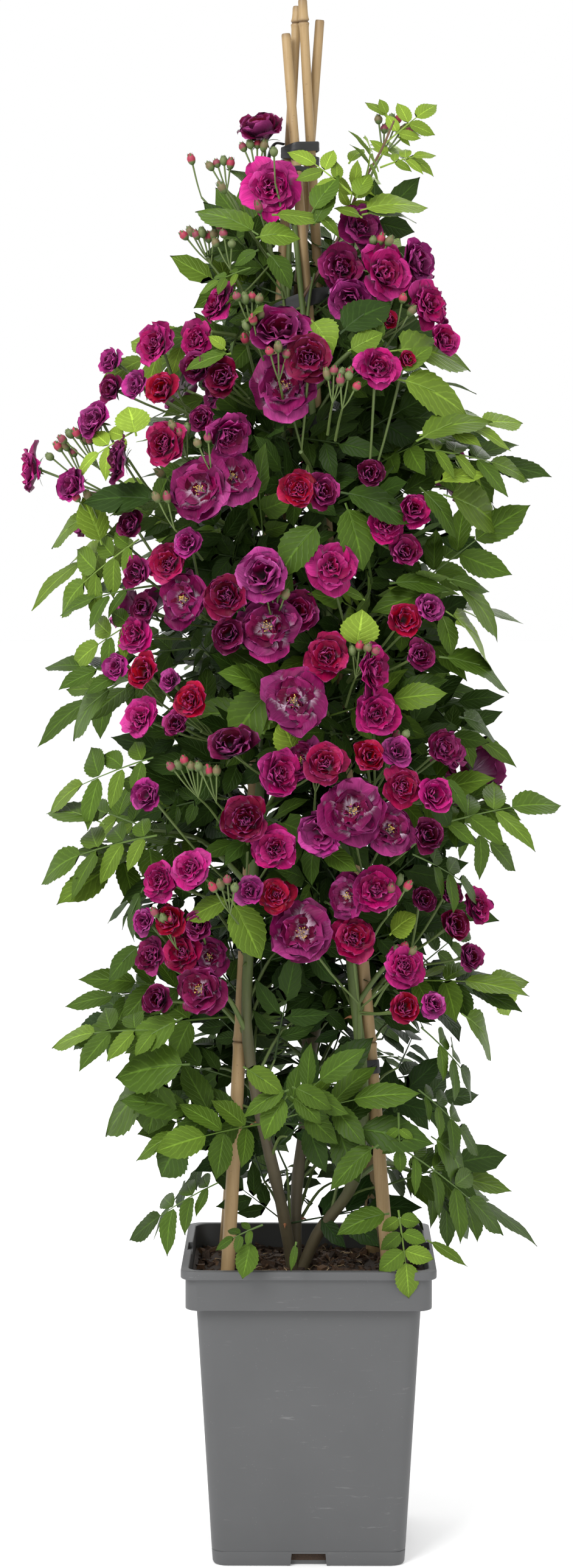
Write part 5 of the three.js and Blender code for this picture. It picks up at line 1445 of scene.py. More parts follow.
@dataclass
class BloomMaker:
    """Builds blooms with their petals, calyx, stamens and stalks, and buds.

    The numbers are over the bloom's radius or the petal's length. seat: how deep the petals start. foot:
    how far from the axis. widest: where a petal is widest. ruffle: height of its waves, of waves radians.
    claw, blunt: how narrow it is at its foot and at its tip. dent: the notch of its rim. corner: how far
    its corners stay behind. lengths, widths: ranges over the whorl's. sways: how much its rise and bend
    (degrees), turn and lean vary. hip: length of the hip. sag: how far the stalk hangs.
    """

    piece: Piece
    rng: np.random.Generator
    seat: float = 0.32
    foot: float = 0.05
    widest: float = 0.62
    ruffle: float = 2.1
    waves: float = 3.3
    claw: float = 0.14
    blunt: float = 0.86
    dent: float = 0.06
    corner: float = 0.12
    lengths: tuple[float, float] = (0.84, 1.1)
    widths: tuple[float, float] = (0.8, 1.1)
    sways: tuple[float, float, float, float] = (6.0, 16.0, 0.2, 0.16)
    hip: float = 0.06
    sag: float = 0.04

    def petals(self, bloom: Bloom) -> None:
        """Adds the petals. Each is a grid: its middle line leaves the bloom's seat at the angle rise and
        turns evenly to the angle bend, and each row across is an arc of the whorl's curvature, with a
        wave that grows with the square of the way along."""
        rows = []
        for k, whorl in enumerate(bloom.form.value):
            offset = self.rng.uniform(0, TURN)
            for i in range(whorl.count):
                rows.append((whorl.length, whorl.width, whorl.rise, whorl.bend, whorl.cup, whorl.ruffle,
                             offset + i * TURN / whorl.count, k / len(bloom.form.value)))
        spec = np.array(rows)
        n = len(spec)
        spec[:, 0] *= self.rng.uniform(*self.lengths, n)
        spec[:, 1] *= self.rng.uniform(*self.widths, n)
        for column, sway in zip((2, 3, 6), self.sways):
            spec[:, column] += self.rng.normal(0, sway, n)
        length, width, rise, bend, cup, ruffle, angle, depth = (c[:, None, None] for c in spec.T)
        size = bloom.radius * SPREADS[bloom.form]
        t, s = np.meshgrid(PETAL_ROWS, PETAL_COLUMNS, indexing="ij")
        t, s = t[None], s[None]
        notch = self.dent * (1 - np.abs(s)) ** 2 * (t == 1)
        place = t * (1 - self.corner * s * s * t) - notch
        rise, bend = np.radians(rise), np.radians(np.where(np.abs(bend - rise) < 1, rise + 1, bend))
        slope = rise + (bend - rise) * place
        out = self.foot * size + length * size * (np.sin(slope) - np.sin(rise)) / (bend - rise)
        up = length * size * (np.cos(rise) - np.cos(slope)) / (bend - rise)
        near = np.sin(np.minimum(t / self.widest, 1) * TURN / 4)
        far = np.sqrt(1 - self.blunt * np.clip((t - self.widest) / (1 - self.widest), 0, 1) ** 2)
        half = width * size * (self.claw + (1 - self.claw) * near) * far
        curl = cup / size
        arc = s * half * curl
        phase = self.rng.uniform(0, TURN, (n, 1, 1))
        wave = self.ruffle * ruffle * size * np.sin(s * self.waves + phase) * t * t
        lean = self.rng.normal(0, self.sways[3], (n, 1, 1)) * s * half * t
        inward = (1 - np.cos(arc)) / curl + wave + lean
        axis = bloom.normal
        radial, around = wheel(axis, angle[..., None])
        face = np.cos(slope)[..., None] * axis - np.sin(slope)[..., None] * radial
        seat = bloom.centre - axis * self.seat * size
        top = seat + out[..., None] * radial + up[..., None] * axis
        top = top + (np.sin(arc) / curl)[..., None] * around + inward[..., None] * face
        grid = np.broadcast_to(np.stack((0.5 + BLADE_UV * s, t), axis=-1), (n, *t.shape[1:], 2)).copy()
        grid[..., 0] += np.arange(n)[:, None, None]
        self.piece.add_shells(top, -face * PETAL_THICKNESS, grid, self._tints(bloom, depth[:, 0, 0]))

    def _tints(self, bloom: Bloom, depth: np.ndarray) -> np.ndarray:
        """Returns: each petal's colour and how pale its foot is: it goes from the outer to the inner colour
        with its depth, and the outer ones fade towards the back's colour. Painted shade makes the inner
        petals darker."""
        n = len(depth)
        outer, inner, back = (np.array(c) for c in bloom.hue.value)
        deep = np.clip(depth * TINT_INNER[0] - TINT_INNER[1], 0, 1)[:, None]
        fade = np.clip(self.rng.normal(*TINT_FADE[:2], n) * (1 - depth), 0, TINT_FADE[2])[:, None]
        # a random brightness for each petal, times painted shade that darkens the inner petals
        shade = self.rng.uniform(*TINT_SHADE, n)[:, None] * (TINT_PAINTED_SHADE[0] - TINT_PAINTED_SHADE[1] * depth[:, None])
        colour = ((outer * (1 - deep) + inner * deep) * (1 - fade) + back * fade) * shade
        return np.hstack((colour, np.full((n, 1), PALE_FEET.get(bloom.form, PALE_FOOT))))

    def calyx(self, bloom: Bloom) -> None:
        """Adds the stalk, the hip and five sepals, as slim blades that spread under the petals, and the
        stamens of an open bloom."""
        size, axis = bloom.radius, bloom.normal
        neck = bloom.centre + axis * CUP_NECK * size
        seat = bloom.centre - axis * (self.seat + self.hip) * size
        bend = (bloom.start + neck) / 2 - UP * self.sag * float(np.linalg.norm(neck - bloom.start))
        self.piece.add_stem((bloom.start, bend, neck), 3, STALK_RADIUS, 6, STEM_GREEN)
        share = np.linspace(0, 1, len(HIP_RADII))[:, None]
        hip = neck * (1 - share) + seat * share
        self.piece.add_bars(hip[None], HIP_RADII[None] * min(size / HIP_BLOOM, HIP_MOST), 8, SEPAL_GREEN, 1)
        reach, angles, half = BLOOM_SEPALS
        self._sepals(seat, axis, size * reach, angles, half)
        if bloom.form is Form.OPEN:
            self._stamens(bloom)

    def _sepals(self, seat: np.ndarray, axis: np.ndarray, length: float, angles: tuple[float, float],
                half: float) -> None:
        """Adds pointed blades round an axis, which turn from one angle over its plane to another."""
        t, s = np.meshgrid(np.linspace(0, 1, 5), SEPAL_COLUMNS, indexing="ij")
        start, end = (math.radians(a) for a in angles)
        slope = start + (end - start) * t
        out = SEPAL_FOOT + length * (np.sin(slope) - math.sin(start)) / (end - start)
        up = length * (math.cos(start) - np.cos(slope)) / (end - start)
        across = s * half * (1 - t) ** 0.7 * (0.5 + t)
        angle = np.arange(SEPALS) * TURN / SEPALS + self.rng.uniform(0, TURN)
        radial, around = wheel(axis, angle[:, None, None, None])
        face = np.cos(slope)[None, ..., None] * axis - np.sin(slope)[None, ..., None] * radial
        top = seat + out[None, ..., None] * radial + up[None, ..., None] * axis
        top = top + across[None, ..., None] * around
        grid = np.broadcast_to(np.stack((0.5 + s * BLADE_UV, t), axis=-1), (SEPALS, *t.shape, 2))
        self.piece.add_shells(top, -face * PETAL_THICKNESS, grid, np.tile(SEPAL_GREEN, (SEPALS, 1)), 1)

    def _stamens(self, bloom: Bloom) -> None:
        """Adds a tuft of stamens: thin bars with a thicker end, which lean out at drawn angles."""
        axis, size = bloom.normal, bloom.radius
        radial, _ = wheel(axis, self.rng.uniform(0, TURN, (STAMENS, 1)))
        way = unit(axis + radial * self.rng.uniform(*STAMEN_LEAN, (STAMENS, 1)))
        reach = size * self.rng.uniform(*STAMEN_REACH, (STAMENS, 1, 1))
        paths = bloom.centre - axis * self.seat * size + way[:, None, :] * reach * STAMEN_SHARES
        radii, tint = np.tile(STAMEN_RADII, (STAMENS, 1)), np.tile(STAMEN_TINTS, (STAMENS, 1, 1))
        self.piece.add_bars(paths, radii, 4, tint, 1)

    def bud(self, path: np.ndarray, petal: Colour, size: float = 1.0) -> None:
        """Adds a bud on its stalk: an egg with five sepals that hug it and a coloured tip.

        Args: path: the stalk's root, the bud's neck, its widest place and its tip. petal: the tip's
        colour. size: length of the egg over the planned one.
        """
        root, neck, _, tip = path
        axis = unit(tip - neck)
        length = float(np.linalg.norm(tip - neck)) * size
        self.piece.add_stem((root, (root + neck) / 2 - UP * BUD_SAG, neck), 3, BUD_STALK, 6, STEM_GREEN)
        egg = neck + axis * (EGG_SHARES * length)[:, None]
        tint = np.where(EGG_SHARES[:, None] < EGG_GREEN, np.array(SEPAL_GREEN), np.array((*petal, 0.0)))
        self.piece.add_bars(egg[None], EGG_RADII[None] * size, 10, tint[None], 1)
        reach, angles, half = BUD_SEPALS
        self._sepals(neck + axis * length * EGG_NECK, axis, length * reach, angles, half * size)


LEAF_TONES = (
    (0.0, (0.010, 0.026, 0.004)),
    (0.35, (0.022, 0.045, 0.006)),
    (0.65, (0.055, 0.100, 0.010)),
    (1.0, (0.19, 0.28, 0.030)),
)


def leaf_colour(tone: np.ndarray) -> np.ndarray:
    """Returns: red, green and blue for tones from 0, the darkest green, to 1, young yellow-green."""
    places = [place for place, _ in LEAF_TONES]
    return np.stack([np.interp(tone, places, [c[n] for _, c in LEAF_TONES]) for n in range(3)], axis=-1)


@dataclass
class LeafMaker:
    """Builds pinnate leaves with serrate leaflets, ribs and petioles.

    teeth, tooth, bite: how many there are, where their points lie between notches, and how deep they cut.
    shape: powers of the outline, at the foot, all along and added at the tip. petiolule: a leaflet's own
    stalk over its length. least: half width of a tip in millimetres. widths, folds, curls, shades: ranges
    over the usual one. turn, sway, roll, tones: scatter. ripple: height and radians of the rims' waves.
    """

    piece: Piece
    rng: np.random.Generator
    teeth: int = 6
    tooth: float = 0.78
    bite: float = 0.09
    shape: tuple[float, float, float] = (0.85, 0.66, 0.7)
    petiolule: float = 0.04
    least: float = 0.25
    widths: tuple[float, float] = (0.88, 1.14)
    folds: tuple[float, float] = (0.3, 1.7)
    curls: tuple[float, float] = (0.2, 1.9)
    shades: tuple[float, float] = (0.85, 1.15)
    turn: float = 0.1
    sway: float = 0.04
    roll: float = 0.1
    tones: float = 0.06
    ripple: tuple[float, float] = (0.02, 9.0)
    fold: float = 0.16
    curl: float = 0.14
    thickness: float = 0.32
    pairs: tuple[tuple[float, float], ...] = ((0.45, 0.36), (0.25, 0.30), (0.09, 0.24))
    stalk: float = 0.06
    broad: float = 1.12
    uv: float = 0.49
    rib: tuple[float, float] = (0.95, 0.5)
    rib_tint: float = 1.3

    def _stations(self, leaf: Leaf) -> list[tuple[float, float, float]]:
        """Returns: where each leaflet leaves the rachis, its angle and its length, over the leaf's."""
        if leaf.pairs == 0:
            return [(self.stalk, 0.0, 1 - self.stalk)]
        stations = [(1 - TERMINAL, 0.0, TERMINAL)]
        for at, share in self.pairs[: leaf.pairs + 1]:
            stations += [(at, LEAFLET_ANGLE, share), (at, -LEAFLET_ANGLE, share)]
        return stations

    def leaflets(self, leaves: Sequence[Leaf]) -> None:
        """Adds all leaflets of some leaves. Each is a grid of three columns, the rims and the midrib: the
        half width is the sine of a power of t, raised to a power that grows towards the tip, and a saw
        of forward teeth cuts in from it. The halves fold up from the midrib, and the tip curls down
        with the square of t."""
        rows = []
        for k, leaf in enumerate(leaves):
            for at, angle, share in self._stations(leaf):
                rows.append((k, at * leaf.size, angle, share * leaf.size, leaf.tone))
        spec = np.array(rows)
        n = len(spec)
        owner = spec[:, 0].astype(int)
        base, way, side, normal = (
            np.array([getattr(leaf, name) for leaf in leaves])[owner][:, None, None, :]
            for name in ("base", "way", "side", "normal")
        )
        size = np.array([leaf.size for leaf in leaves])[owner][:, None, None]
        start, angle, length, _ = (c[:, None, None] for c in spec[:, 1:].T)
        angle = angle + self.rng.normal(0, self.turn, (n, 1, 1)) * (angle != 0)
        notches = np.arange(self.teeth + 1) / self.teeth
        places = np.sort(np.concatenate((notches, notches[:-1] + self.tooth / self.teeth)))
        t, s = np.meshgrid(places, SEPAL_COLUMNS, indexing="ij")
        t, s = t[None], s[None]
        notch = (np.arange(len(places)) % 2 == 0)[None, :, None] * np.abs(s)
        wide = np.array([leaf.wide for leaf in leaves])[owner][:, None, None]
        half = self.broad * SLIM * length * wide * self.rng.uniform(*self.widths, (n, 1, 1))
        foot, body, tip = self.shape
        outline = np.sin(t**foot * TURN / 2) ** (body + tip * t**5 / wide)
        width = half * outline * (1 - self.bite * notch) + self.least
        ahead = length * (self.petiolule + (1 - self.petiolule) * t)
        across = s * width + length * self.sway * self.rng.normal(0, 1, (n, 1, 1)) * t * t
        u = start + ahead * np.cos(angle) - across * np.sin(angle)
        v = ahead * np.sin(angle) + across * np.cos(angle)
        fold = self.fold * self.rng.uniform(*self.folds, (n, 1, 1))
        curl = self.curl * self.rng.uniform(*self.curls, (n, 1, 1))
        roll = self.rng.normal(0, self.roll, (n, 1, 1))
        h = fold * np.abs(s) * width + roll * s * width - curl * length * t * t
        high, waves = self.ripple
        h = h + high * length * np.sin(t * waves + self.rng.uniform(0, TURN, (n, 1, 1))) * np.abs(s)
        arch = -LEAF_ARCH[0] * u * u / size - LEAF_ARCH[1] * np.abs(v)
        top = base + u[..., None] * way + v[..., None] * side + (h + arch)[..., None] * normal
        grid = np.broadcast_to(np.stack((0.5 + s * self.uv, t), axis=-1), (n, *t.shape[1:], 2)).copy()
        tone = np.clip(spec[:, 4] + self.rng.normal(0, self.tones, n), 0, 1)
        colour = leaf_colour(tone) * self.rng.uniform(*self.shades, (n, 1))
        tint = np.hstack((colour, np.zeros((n, 1))))
        self.piece.add_shells(top, np.broadcast_to(-normal * self.thickness, top.shape), grid, tint)

    def ribs(self, leaves: Sequence[Leaf]) -> None:
        """Adds each leaf's petiole and the stalks of its leaflets as thin bars."""
        paths, radii = [], []
        for leaf in leaves:
            end = 1 - TERMINAL + 0.03 if leaf.pairs else 0.5
            u = np.linspace(0, end, 5) * leaf.size
            paths.append(leaf.point(u, np.zeros(5), -0.2 if leaf.pairs else -0.6))
            radii.append(np.linspace(*self.rib, 5))
        tint = np.array([(*(leaf_colour(np.array(leaf.tone)) * self.rib_tint), 0.0) for leaf in leaves])
        self.piece.add_bars(np.array(paths), np.array(radii), 4, tint, 1)


SQUARE = ((-1, -1), (1, -1), (1, 1), (-1, 1))


def squared(halves: Sequence[float], heights: Sequence[float], steps: int) -> np.ndarray:
    """Args: halves, heights: each ring's half width and height. steps: steps of a rounded corner.

    Returns: rings of points round the axis, as four arcs whose radius is CORNER_RADIUS, or the half
    width where that is less.
    """
    half, z = np.asarray(halves, float)[:, None], np.asarray(heights, float)[:, None]
    angle = np.radians((np.arange(4)[:, None] * 90 + np.linspace(0, 90, steps + 1)[None]).ravel())[None]
    quarter = np.repeat(np.arange(4), steps + 1)[None]
    sign_x = np.where((quarter == 0) | (quarter == 3), 1, -1)
    sign_y = np.where(quarter < 2, 1, -1)
    round_ = np.minimum(CORNER_RADIUS, half)
    x = sign_x * (half - round_) + round_ * np.cos(angle)
    y = sign_y * (half - round_) + round_ * np.sin(angle)
    return np.stack((x, y, np.broadcast_to(z, x.shape)), axis=-1)


def lathe_faces(rings: int, around: int, first: int = 0) -> np.ndarray:
    """Returns: the walls between rings of points that run counterclockwise."""
    grid = first + np.arange(rings * around).reshape(rings, around)
    return quads(np.concatenate((grid, grid[:, :1]), axis=1))[:, ::-1]


def body_half(z: float) -> float:
    """Returns: the half width of the pot's body at a height."""
    return mix(BODY_FOOT_HALF, BODY_TOP_HALF, z / (POT_HEIGHT - COLLAR_HEIGHT))


@dataclass(frozen=True)
class PotModel:
    """The square container: body, collar and lip as one shell, with notches, rim slots and drains."""

    steps: int = 9
    notch: tuple[float, float, float, float] = (33, 30, 11.5, 7)
    slot: tuple[float, float, float] = (4, 35, 5)
    slot_from_edge: float = 5.0
    drain: tuple[float, float] = (6, 55)
    drain_sides: int = 24
    sharp: float = 35.0

    def build(self, finish: PlasticFinish) -> bpy.types.Object:
        """Args: finish: the plastic. Returns: the pot."""
        pot = self._shell()
        outer = -BODY_FOOT_HALF
        foot, head, height, depth = self.notch
        cutters = []
        for turn in range(4):
            box = self._block(foot / 2 + WALL, head / 2 + WALL, height + WALL, outer + WALL / 2,
                              outer + depth + WALL, turn, 0.001)
            cutters.append((box, "UNION"))
        for turn in range(4):
            cut = self._block(foot / 2, head / 2, height, outer - WALL * 2, outer + depth, turn, -WALL)
            cutters.append((cut, "DIFFERENCE"))
        for sign in (-1, 1):
            middle = sign * (RIM_HALF - self.slot_from_edge)
            x, y, z = self.slot
            outline = np.array(((-x, -z), (x, -z), (x, z), (-x, z))) / (2, 1)
            points = np.array([(middle + a, s * y / 2, POT_HEIGHT + b) for s in (-1, 1) for a, b in outline])
            cutters.append((prism_object("rim_slot", points), "DIFFERENCE"))
            for side in (-1, 1):
                ring = np.arange(self.drain_sides) * TURN / self.drain_sides
                x = sign * self.drain[1] + self.drain[0] * np.cos(ring)
                y = side * self.drain[1] + self.drain[0] * np.sin(ring)
                ends = [np.stack((x, y, np.full_like(x, z)), axis=1)[::-1] for z in (-FLOOR, FLOOR * 3)]
                cutters.append((prism_object("drain", np.vstack(ends)), "DIFFERENCE"))
        mesh = combined(pot, cutters)
        mesh.set_sharp_from_angle(angle=math.radians(self.sharp))
        mesh.materials.clear()
        mesh.materials.append(finish.material())
        return install(bpy.data.objects.new("pot_body", mesh), ("pot",))

    def _shell(self) -> bpy.types.Object:
        """Returns: the shell without its cuts, its edges rounded in the profile."""
        step, lip, top = POT_HEIGHT - COLLAR_HEIGHT, POT_HEIGHT - LIP_HEIGHT, POT_HEIGHT
        inner = COLLAR_HALF - WALL
        profile = (
            (BODY_FOOT_HALF - 2.5, 0), (BODY_FOOT_HALF - 0.9, 0.5), (BODY_FOOT_HALF, 2.5),
            (body_half(12.6), 12.6), (body_half(13) - 0.5, 13.1), (body_half(14), 14.2),
            (body_half(120), 120), (body_half(200), 200), (BODY_TOP_HALF, step - 1.2),
            (BODY_TOP_HALF + 1.2, step), (COLLAR_HALF - 1, step), (COLLAR_HALF - 0.2, step + 0.5),
            (COLLAR_HALF, step + 1.5), (COLLAR_HALF, lip - 1.2), (COLLAR_HALF + 0.6, lip - 0.2),
            (RIM_HALF - 0.7, lip), (RIM_HALF - 0.1, lip + 0.6), (RIM_HALF, lip + 1.3),
            (RIM_HALF, top - 1.4), (RIM_HALF - 0.3, top - 0.4), (RIM_HALF - 1.2, top),
            (inner + 0.7, top), (inner, top - 0.8), (inner, step + WALL + 1), (inner - 1, step + WALL),
            (BODY_TOP_HALF - WALL + 1, step + WALL), (BODY_TOP_HALF - WALL, step + WALL - 1),
            (body_half(FLOOR) - WALL + 0.3, FLOOR + 4), (body_half(FLOOR) - WALL - 3, FLOOR),
        )
        rings = squared([p[0] for p in profile], [p[1] for p in profile], self.steps)
        around = rings.shape[1]
        last = (len(profile) - 1) * around
        faces = (lathe_faces(len(profile), around), np.arange(around)[None, ::-1],
                 last + np.arange(around)[None])
        return raw_object("pot_shell", rings.reshape(-1, 3), faces)

    @staticmethod
    def _block(foot: float, head: float, height: float, y0: float, y1: float, turn: int,
               z0: float) -> bpy.types.Object:
        """Returns: a trapezoid block at the foot of one side."""
        outline = ((-foot, z0), (foot, z0), (head, height), (-head, height))
        points = np.array([(x, y, z) for y in (y0, y1) for x, z in outline])
        angle = turn * TURN / 4
        c, s = math.cos(angle), math.sin(angle)
        turned = points @ np.array(((c, s, 0), (-s, c, 0), (0, 0, 1)))
        return prism_object("notch", turned)


def raw_object(name: str, points: np.ndarray, faces: Sequence[np.ndarray]) -> bpy.types.Object:
    """Returns: a scratch object from points in millimetres and faces."""
    mesh = bpy.data.meshes.new(name)
    mesh.from_pydata((points * MM).tolist(), [], [row for group in faces for row in group.tolist()])
    mesh.polygons.foreach_set("use_smooth", np.ones(len(mesh.polygons), bool))
    made = bpy.data.objects.new(name, mesh)
    bpy.context.scene.collection.objects.link(made)
    return made


def prism_object(name: str, points: np.ndarray) -> bpy.types.Object:
    """Returns: a scratch prism from the outline of one end and that of the other."""
    n = len(points) // 2
    near = np.arange(n)
    walls = np.stack((near, np.roll(near, -1), np.roll(near, -1) + n, near + n), axis=1)
    made = raw_object(name, points, (walls, near[None, ::-1], near[None] + n))
    mesh = bmesh.new()
    mesh.from_mesh(made.data)
    bmesh.ops.recalc_face_normals(mesh, faces=mesh.faces[:])
    mesh.to_mesh(made.data)
    mesh.free()
    return made


def combined(base: bpy.types.Object, others: Sequence[tuple[bpy.types.Object, str]]) -> bpy.types.Mesh:
    """Args: base: a scratch object. others: scratch objects, and how each is combined with it.

    Returns: the mesh of the result. The scratch objects are removed.
    """
    for other, operation in others:
        modifier = base.modifiers.new(other.name, "BOOLEAN")
        modifier.object = other
        modifier.operation = operation
        modifier.solver = "EXACT"
    depsgraph = bpy.context.evaluated_depsgraph_get()
    mesh = bpy.data.meshes.new_from_object(base.evaluated_get(depsgraph))
    for scratch in (base, *(other for other, _ in others)):
        bpy.data.objects.remove(scratch)
    return mesh


@dataclass(frozen=True)
class SoilModel:
    """The filled pot's bark and peat: a bumpy body, loose chips and a few pale fibres."""

    rings: int = 30
    steps: int = 9
    chips: int = 2200
    largest: float = 8.0
    fibres: int = 70
    seed: int = 11
    clear: float = 0.35
    peat: tuple[float, ...] = (0.035, 0.018, 0.009, 0)
    dark: Colour = (0.022, 0.011, 0.006)
    pale: Colour = (0.16, 0.08, 0.035)
    straw: Colour = (0.42, 0.30, 0.16)

    def build(self, finish: SoilFinish) -> bpy.types.Object:
        """Args: finish: the grain. Returns: the soil."""
        rng = np.random.default_rng(self.seed)
        piece = Piece("soil_bed")
        wide = COLLAR_HALF - WALL - self.clear
        step = POT_HEIGHT - COLLAR_HEIGHT + WALL + self.clear
        foot = body_half(FLOOR) - WALL - 3.5
        shares = np.linspace(1, 0.02, self.rings)
        halves = [foot, BODY_TOP_HALF - WALL - 0.4, wide, *(wide * shares)]
        heights = [FLOOR + self.clear, step, step, *np.full(self.rings, SOIL_TOP)]
        rings = squared(halves, heights, self.steps)
        top = rings[3:]
        top[..., 2] += self._height(top[..., 0], top[..., 1])
        around = rings.shape[1]
        last = (len(halves) - 1) * around
        faces = (lathe_faces(len(halves), around), np.arange(around)[None, ::-1],
                 last + np.arange(around)[None])
        piece.add(rings.reshape(-1, 3), faces, self.peat)
        self._add_chips(piece, rng, wide)
        self._add_fibres(piece, rng, wide)
        return piece.make([finish.material()], ("soil",), 50)

    @staticmethod
    def _height(x: np.ndarray, y: np.ndarray) -> np.ndarray:
        """Returns: the bumps at places: four crossed sines, and a mound round the crown."""
        bumps = np.sin(x * 0.11 + 1) * np.cos(y * 0.13) * 2.2 + np.sin(x * 0.31 + y * 0.23) * 1.1
        bumps = bumps + np.sin(x * 0.63 - y * 0.57) * 0.7 + np.cos(x * 0.9) * np.sin(y * 1.1) * 0.5
        return bumps + 4 * np.exp(-((x - CROWN[0]) ** 2 + (y - CROWN[1]) ** 2) / 900)

    def _add_chips(self, piece: Piece, rng: np.random.Generator, wide: float) -> None:
        """Adds chips: boxes with eight shaken corners, turned at random."""
        n = self.chips
        centre = np.empty((n, 3))
        centre[:, :2] = rng.uniform(-wide + 4, wide - 4, (n, 2))
        centre[:, 2] = SOIL_TOP + self._height(centre[:, 0], centre[:, 1]) + rng.uniform(-0.5, 2.0, n)
        size = rng.lognormal(0.75, 0.45, (n, 1)) * rng.uniform(0.5, 1.5, (n, 3)) * (1.2, 0.7, 0.35)
        size = np.minimum(size, self.largest)
        box = np.array([(x, y, z) for z in (-1, 1) for x, y in SQUARE], float)
        corners = box * size[:, None] * rng.uniform(0.6, 1.1, (n, 8, 3))
        yaw, tip = rng.uniform(0, TURN, n)[:, None], rng.normal(0, 0.5, n)[:, None]
        x, y, z = corners[..., 0], corners[..., 1], corners[..., 2]
        x, z = x * np.cos(tip) - z * np.sin(tip), x * np.sin(tip) + z * np.cos(tip)
        x, y = x * np.cos(yaw) - y * np.sin(yaw), x * np.sin(yaw) + y * np.cos(yaw)
        points = np.stack((x, y, z), axis=-1) + centre[:, None]
        faces = np.array(((0, 3, 2, 1), (4, 5, 6, 7), (0, 1, 5, 4), (1, 2, 6, 5), (2, 3, 7, 6), (3, 0, 4, 7)))
        walls = (faces[None] + (np.arange(n) * 8)[:, None, None]).reshape(-1, 4)
        share = rng.beta(1.2, 3.0, n)[:, None]
        colour = np.array(self.dark) * (1 - share) + np.array(self.pale) * share
        tint = np.hstack((colour, np.zeros((n, 1))))
        piece.add(points.reshape(-1, 3), (walls,), np.repeat(tint, 8, axis=0))

    def _add_fibres(self, piece: Piece, rng: np.random.Generator, wide: float) -> None:
        """Adds fibres: thin bent bars that lie on the chips."""
        n = self.fibres
        t = np.linspace(-1, 1, 6)[None]
        yaw, bow = rng.uniform(0, TURN, (n, 1)), rng.normal(0, 0.25, (n, 1))
        length = rng.uniform(3, 11, (n, 1))
        inner = wide - 14
        x = rng.uniform(-inner, inner, (n, 1)) + length * (t * np.cos(yaw) - bow * t * t * np.sin(yaw))
        y = rng.uniform(-inner, inner, (n, 1)) + length * (t * np.sin(yaw) + bow * t * t * np.cos(yaw))
        z = SOIL_TOP + self._height(x, y) + 2.2 + 1.2 * np.sin(t * 3 + yaw)
        share = rng.uniform(0, 1, (n, 1))
        tint = np.hstack((np.array(self.straw) * (0.4 + share * 0.8), np.zeros((n, 1))))
        radii = np.broadcast_to(rng.uniform(0.25, 0.6, (n, 1)) * (1.1 - t * t), (n, 6))
        piece.add_bars(np.stack((x, y, z), axis=-1), radii, 5, tint)


@dataclass(frozen=True)
class CaneModel:
    """A bamboo cane: a slim tapered bar with a ridge and a groove at each knot.

    ridge: the swelling's height. spacing: of the rings between knots. clear: their distance from a knot.
    sway: how far the cane strays. near, swell, brown: a knot's rings, from its middle, how thick and how
    dark they are.
    """

    sides: int = 22
    ridge: float = 0.9
    spacing: float = 37.0
    clear: float = 12.0
    sway: tuple[float, float] = (0.35, 83.0)
    near: tuple[float, ...] = (-9, -5, -3, -1.6, -0.6, 0.0, 0.8, 1.8, 3, 5, 9.0)
    swell: tuple[float, ...] = (0, 0.2, 0.55, 0.95, 0.35, -0.5, 0.5, 1.0, 0.6, 0.2, 0)
    brown: tuple[float, ...] = (0, 0, 0.1, 0.25, 0.8, 1.0, 0.8, 0.3, 0.1, 0, 0)

    def build(self, rule: CaneRule, finish: bpy.types.Material) -> bpy.types.Object:
        """Args: rule: the cane. finish: the bamboo. Returns: the cane."""
        knots = np.arange(CANE_FOOT + CANE_KNOT_SPACING, rule.top - 4, CANE_KNOT_SPACING)
        plain = np.arange(CANE_FOOT, rule.top - 2.5, self.spacing)
        plain = plain[np.abs(plain[:, None] - knots[None]).min(axis=1) > self.clear]
        z = np.concatenate([plain, [rule.top - 1.4, rule.top], *(k + np.array(self.near) for k in knots)])
        grow = np.concatenate([np.zeros(len(plain)), [0, -0.5], *(self.swell for _ in knots)])
        tone = np.concatenate([np.zeros(len(plain)), [0.45, 0.75], *(self.brown for _ in knots)])
        order = np.argsort(z)
        z, grow, tone = z[order], grow[order], tone[order]
        t = (z - SOIL_TOP) / (CROSSING - SOIL_TOP)
        x = rule.soil[0] + (rule.crossing[0] - rule.soil[0]) * t
        y = rule.soil[1] + (rule.crossing[1] - rule.soil[1]) * t
        radius = cane_radius(z) + grow * self.ridge
        wave = self.sway[0] * np.sin(z / self.sway[1] + rule.top)
        path = np.stack((x + wave, y + wave, z), axis=1)
        piece = Piece(f"bamboo_{rule.name}")
        tint = np.repeat(tone[:, None], 4, axis=1)
        piece.add_bars(path[None], radius[None], self.sides, tint[None])
        return piece.make([finish], (f"cane_{rule.name}",), 50)


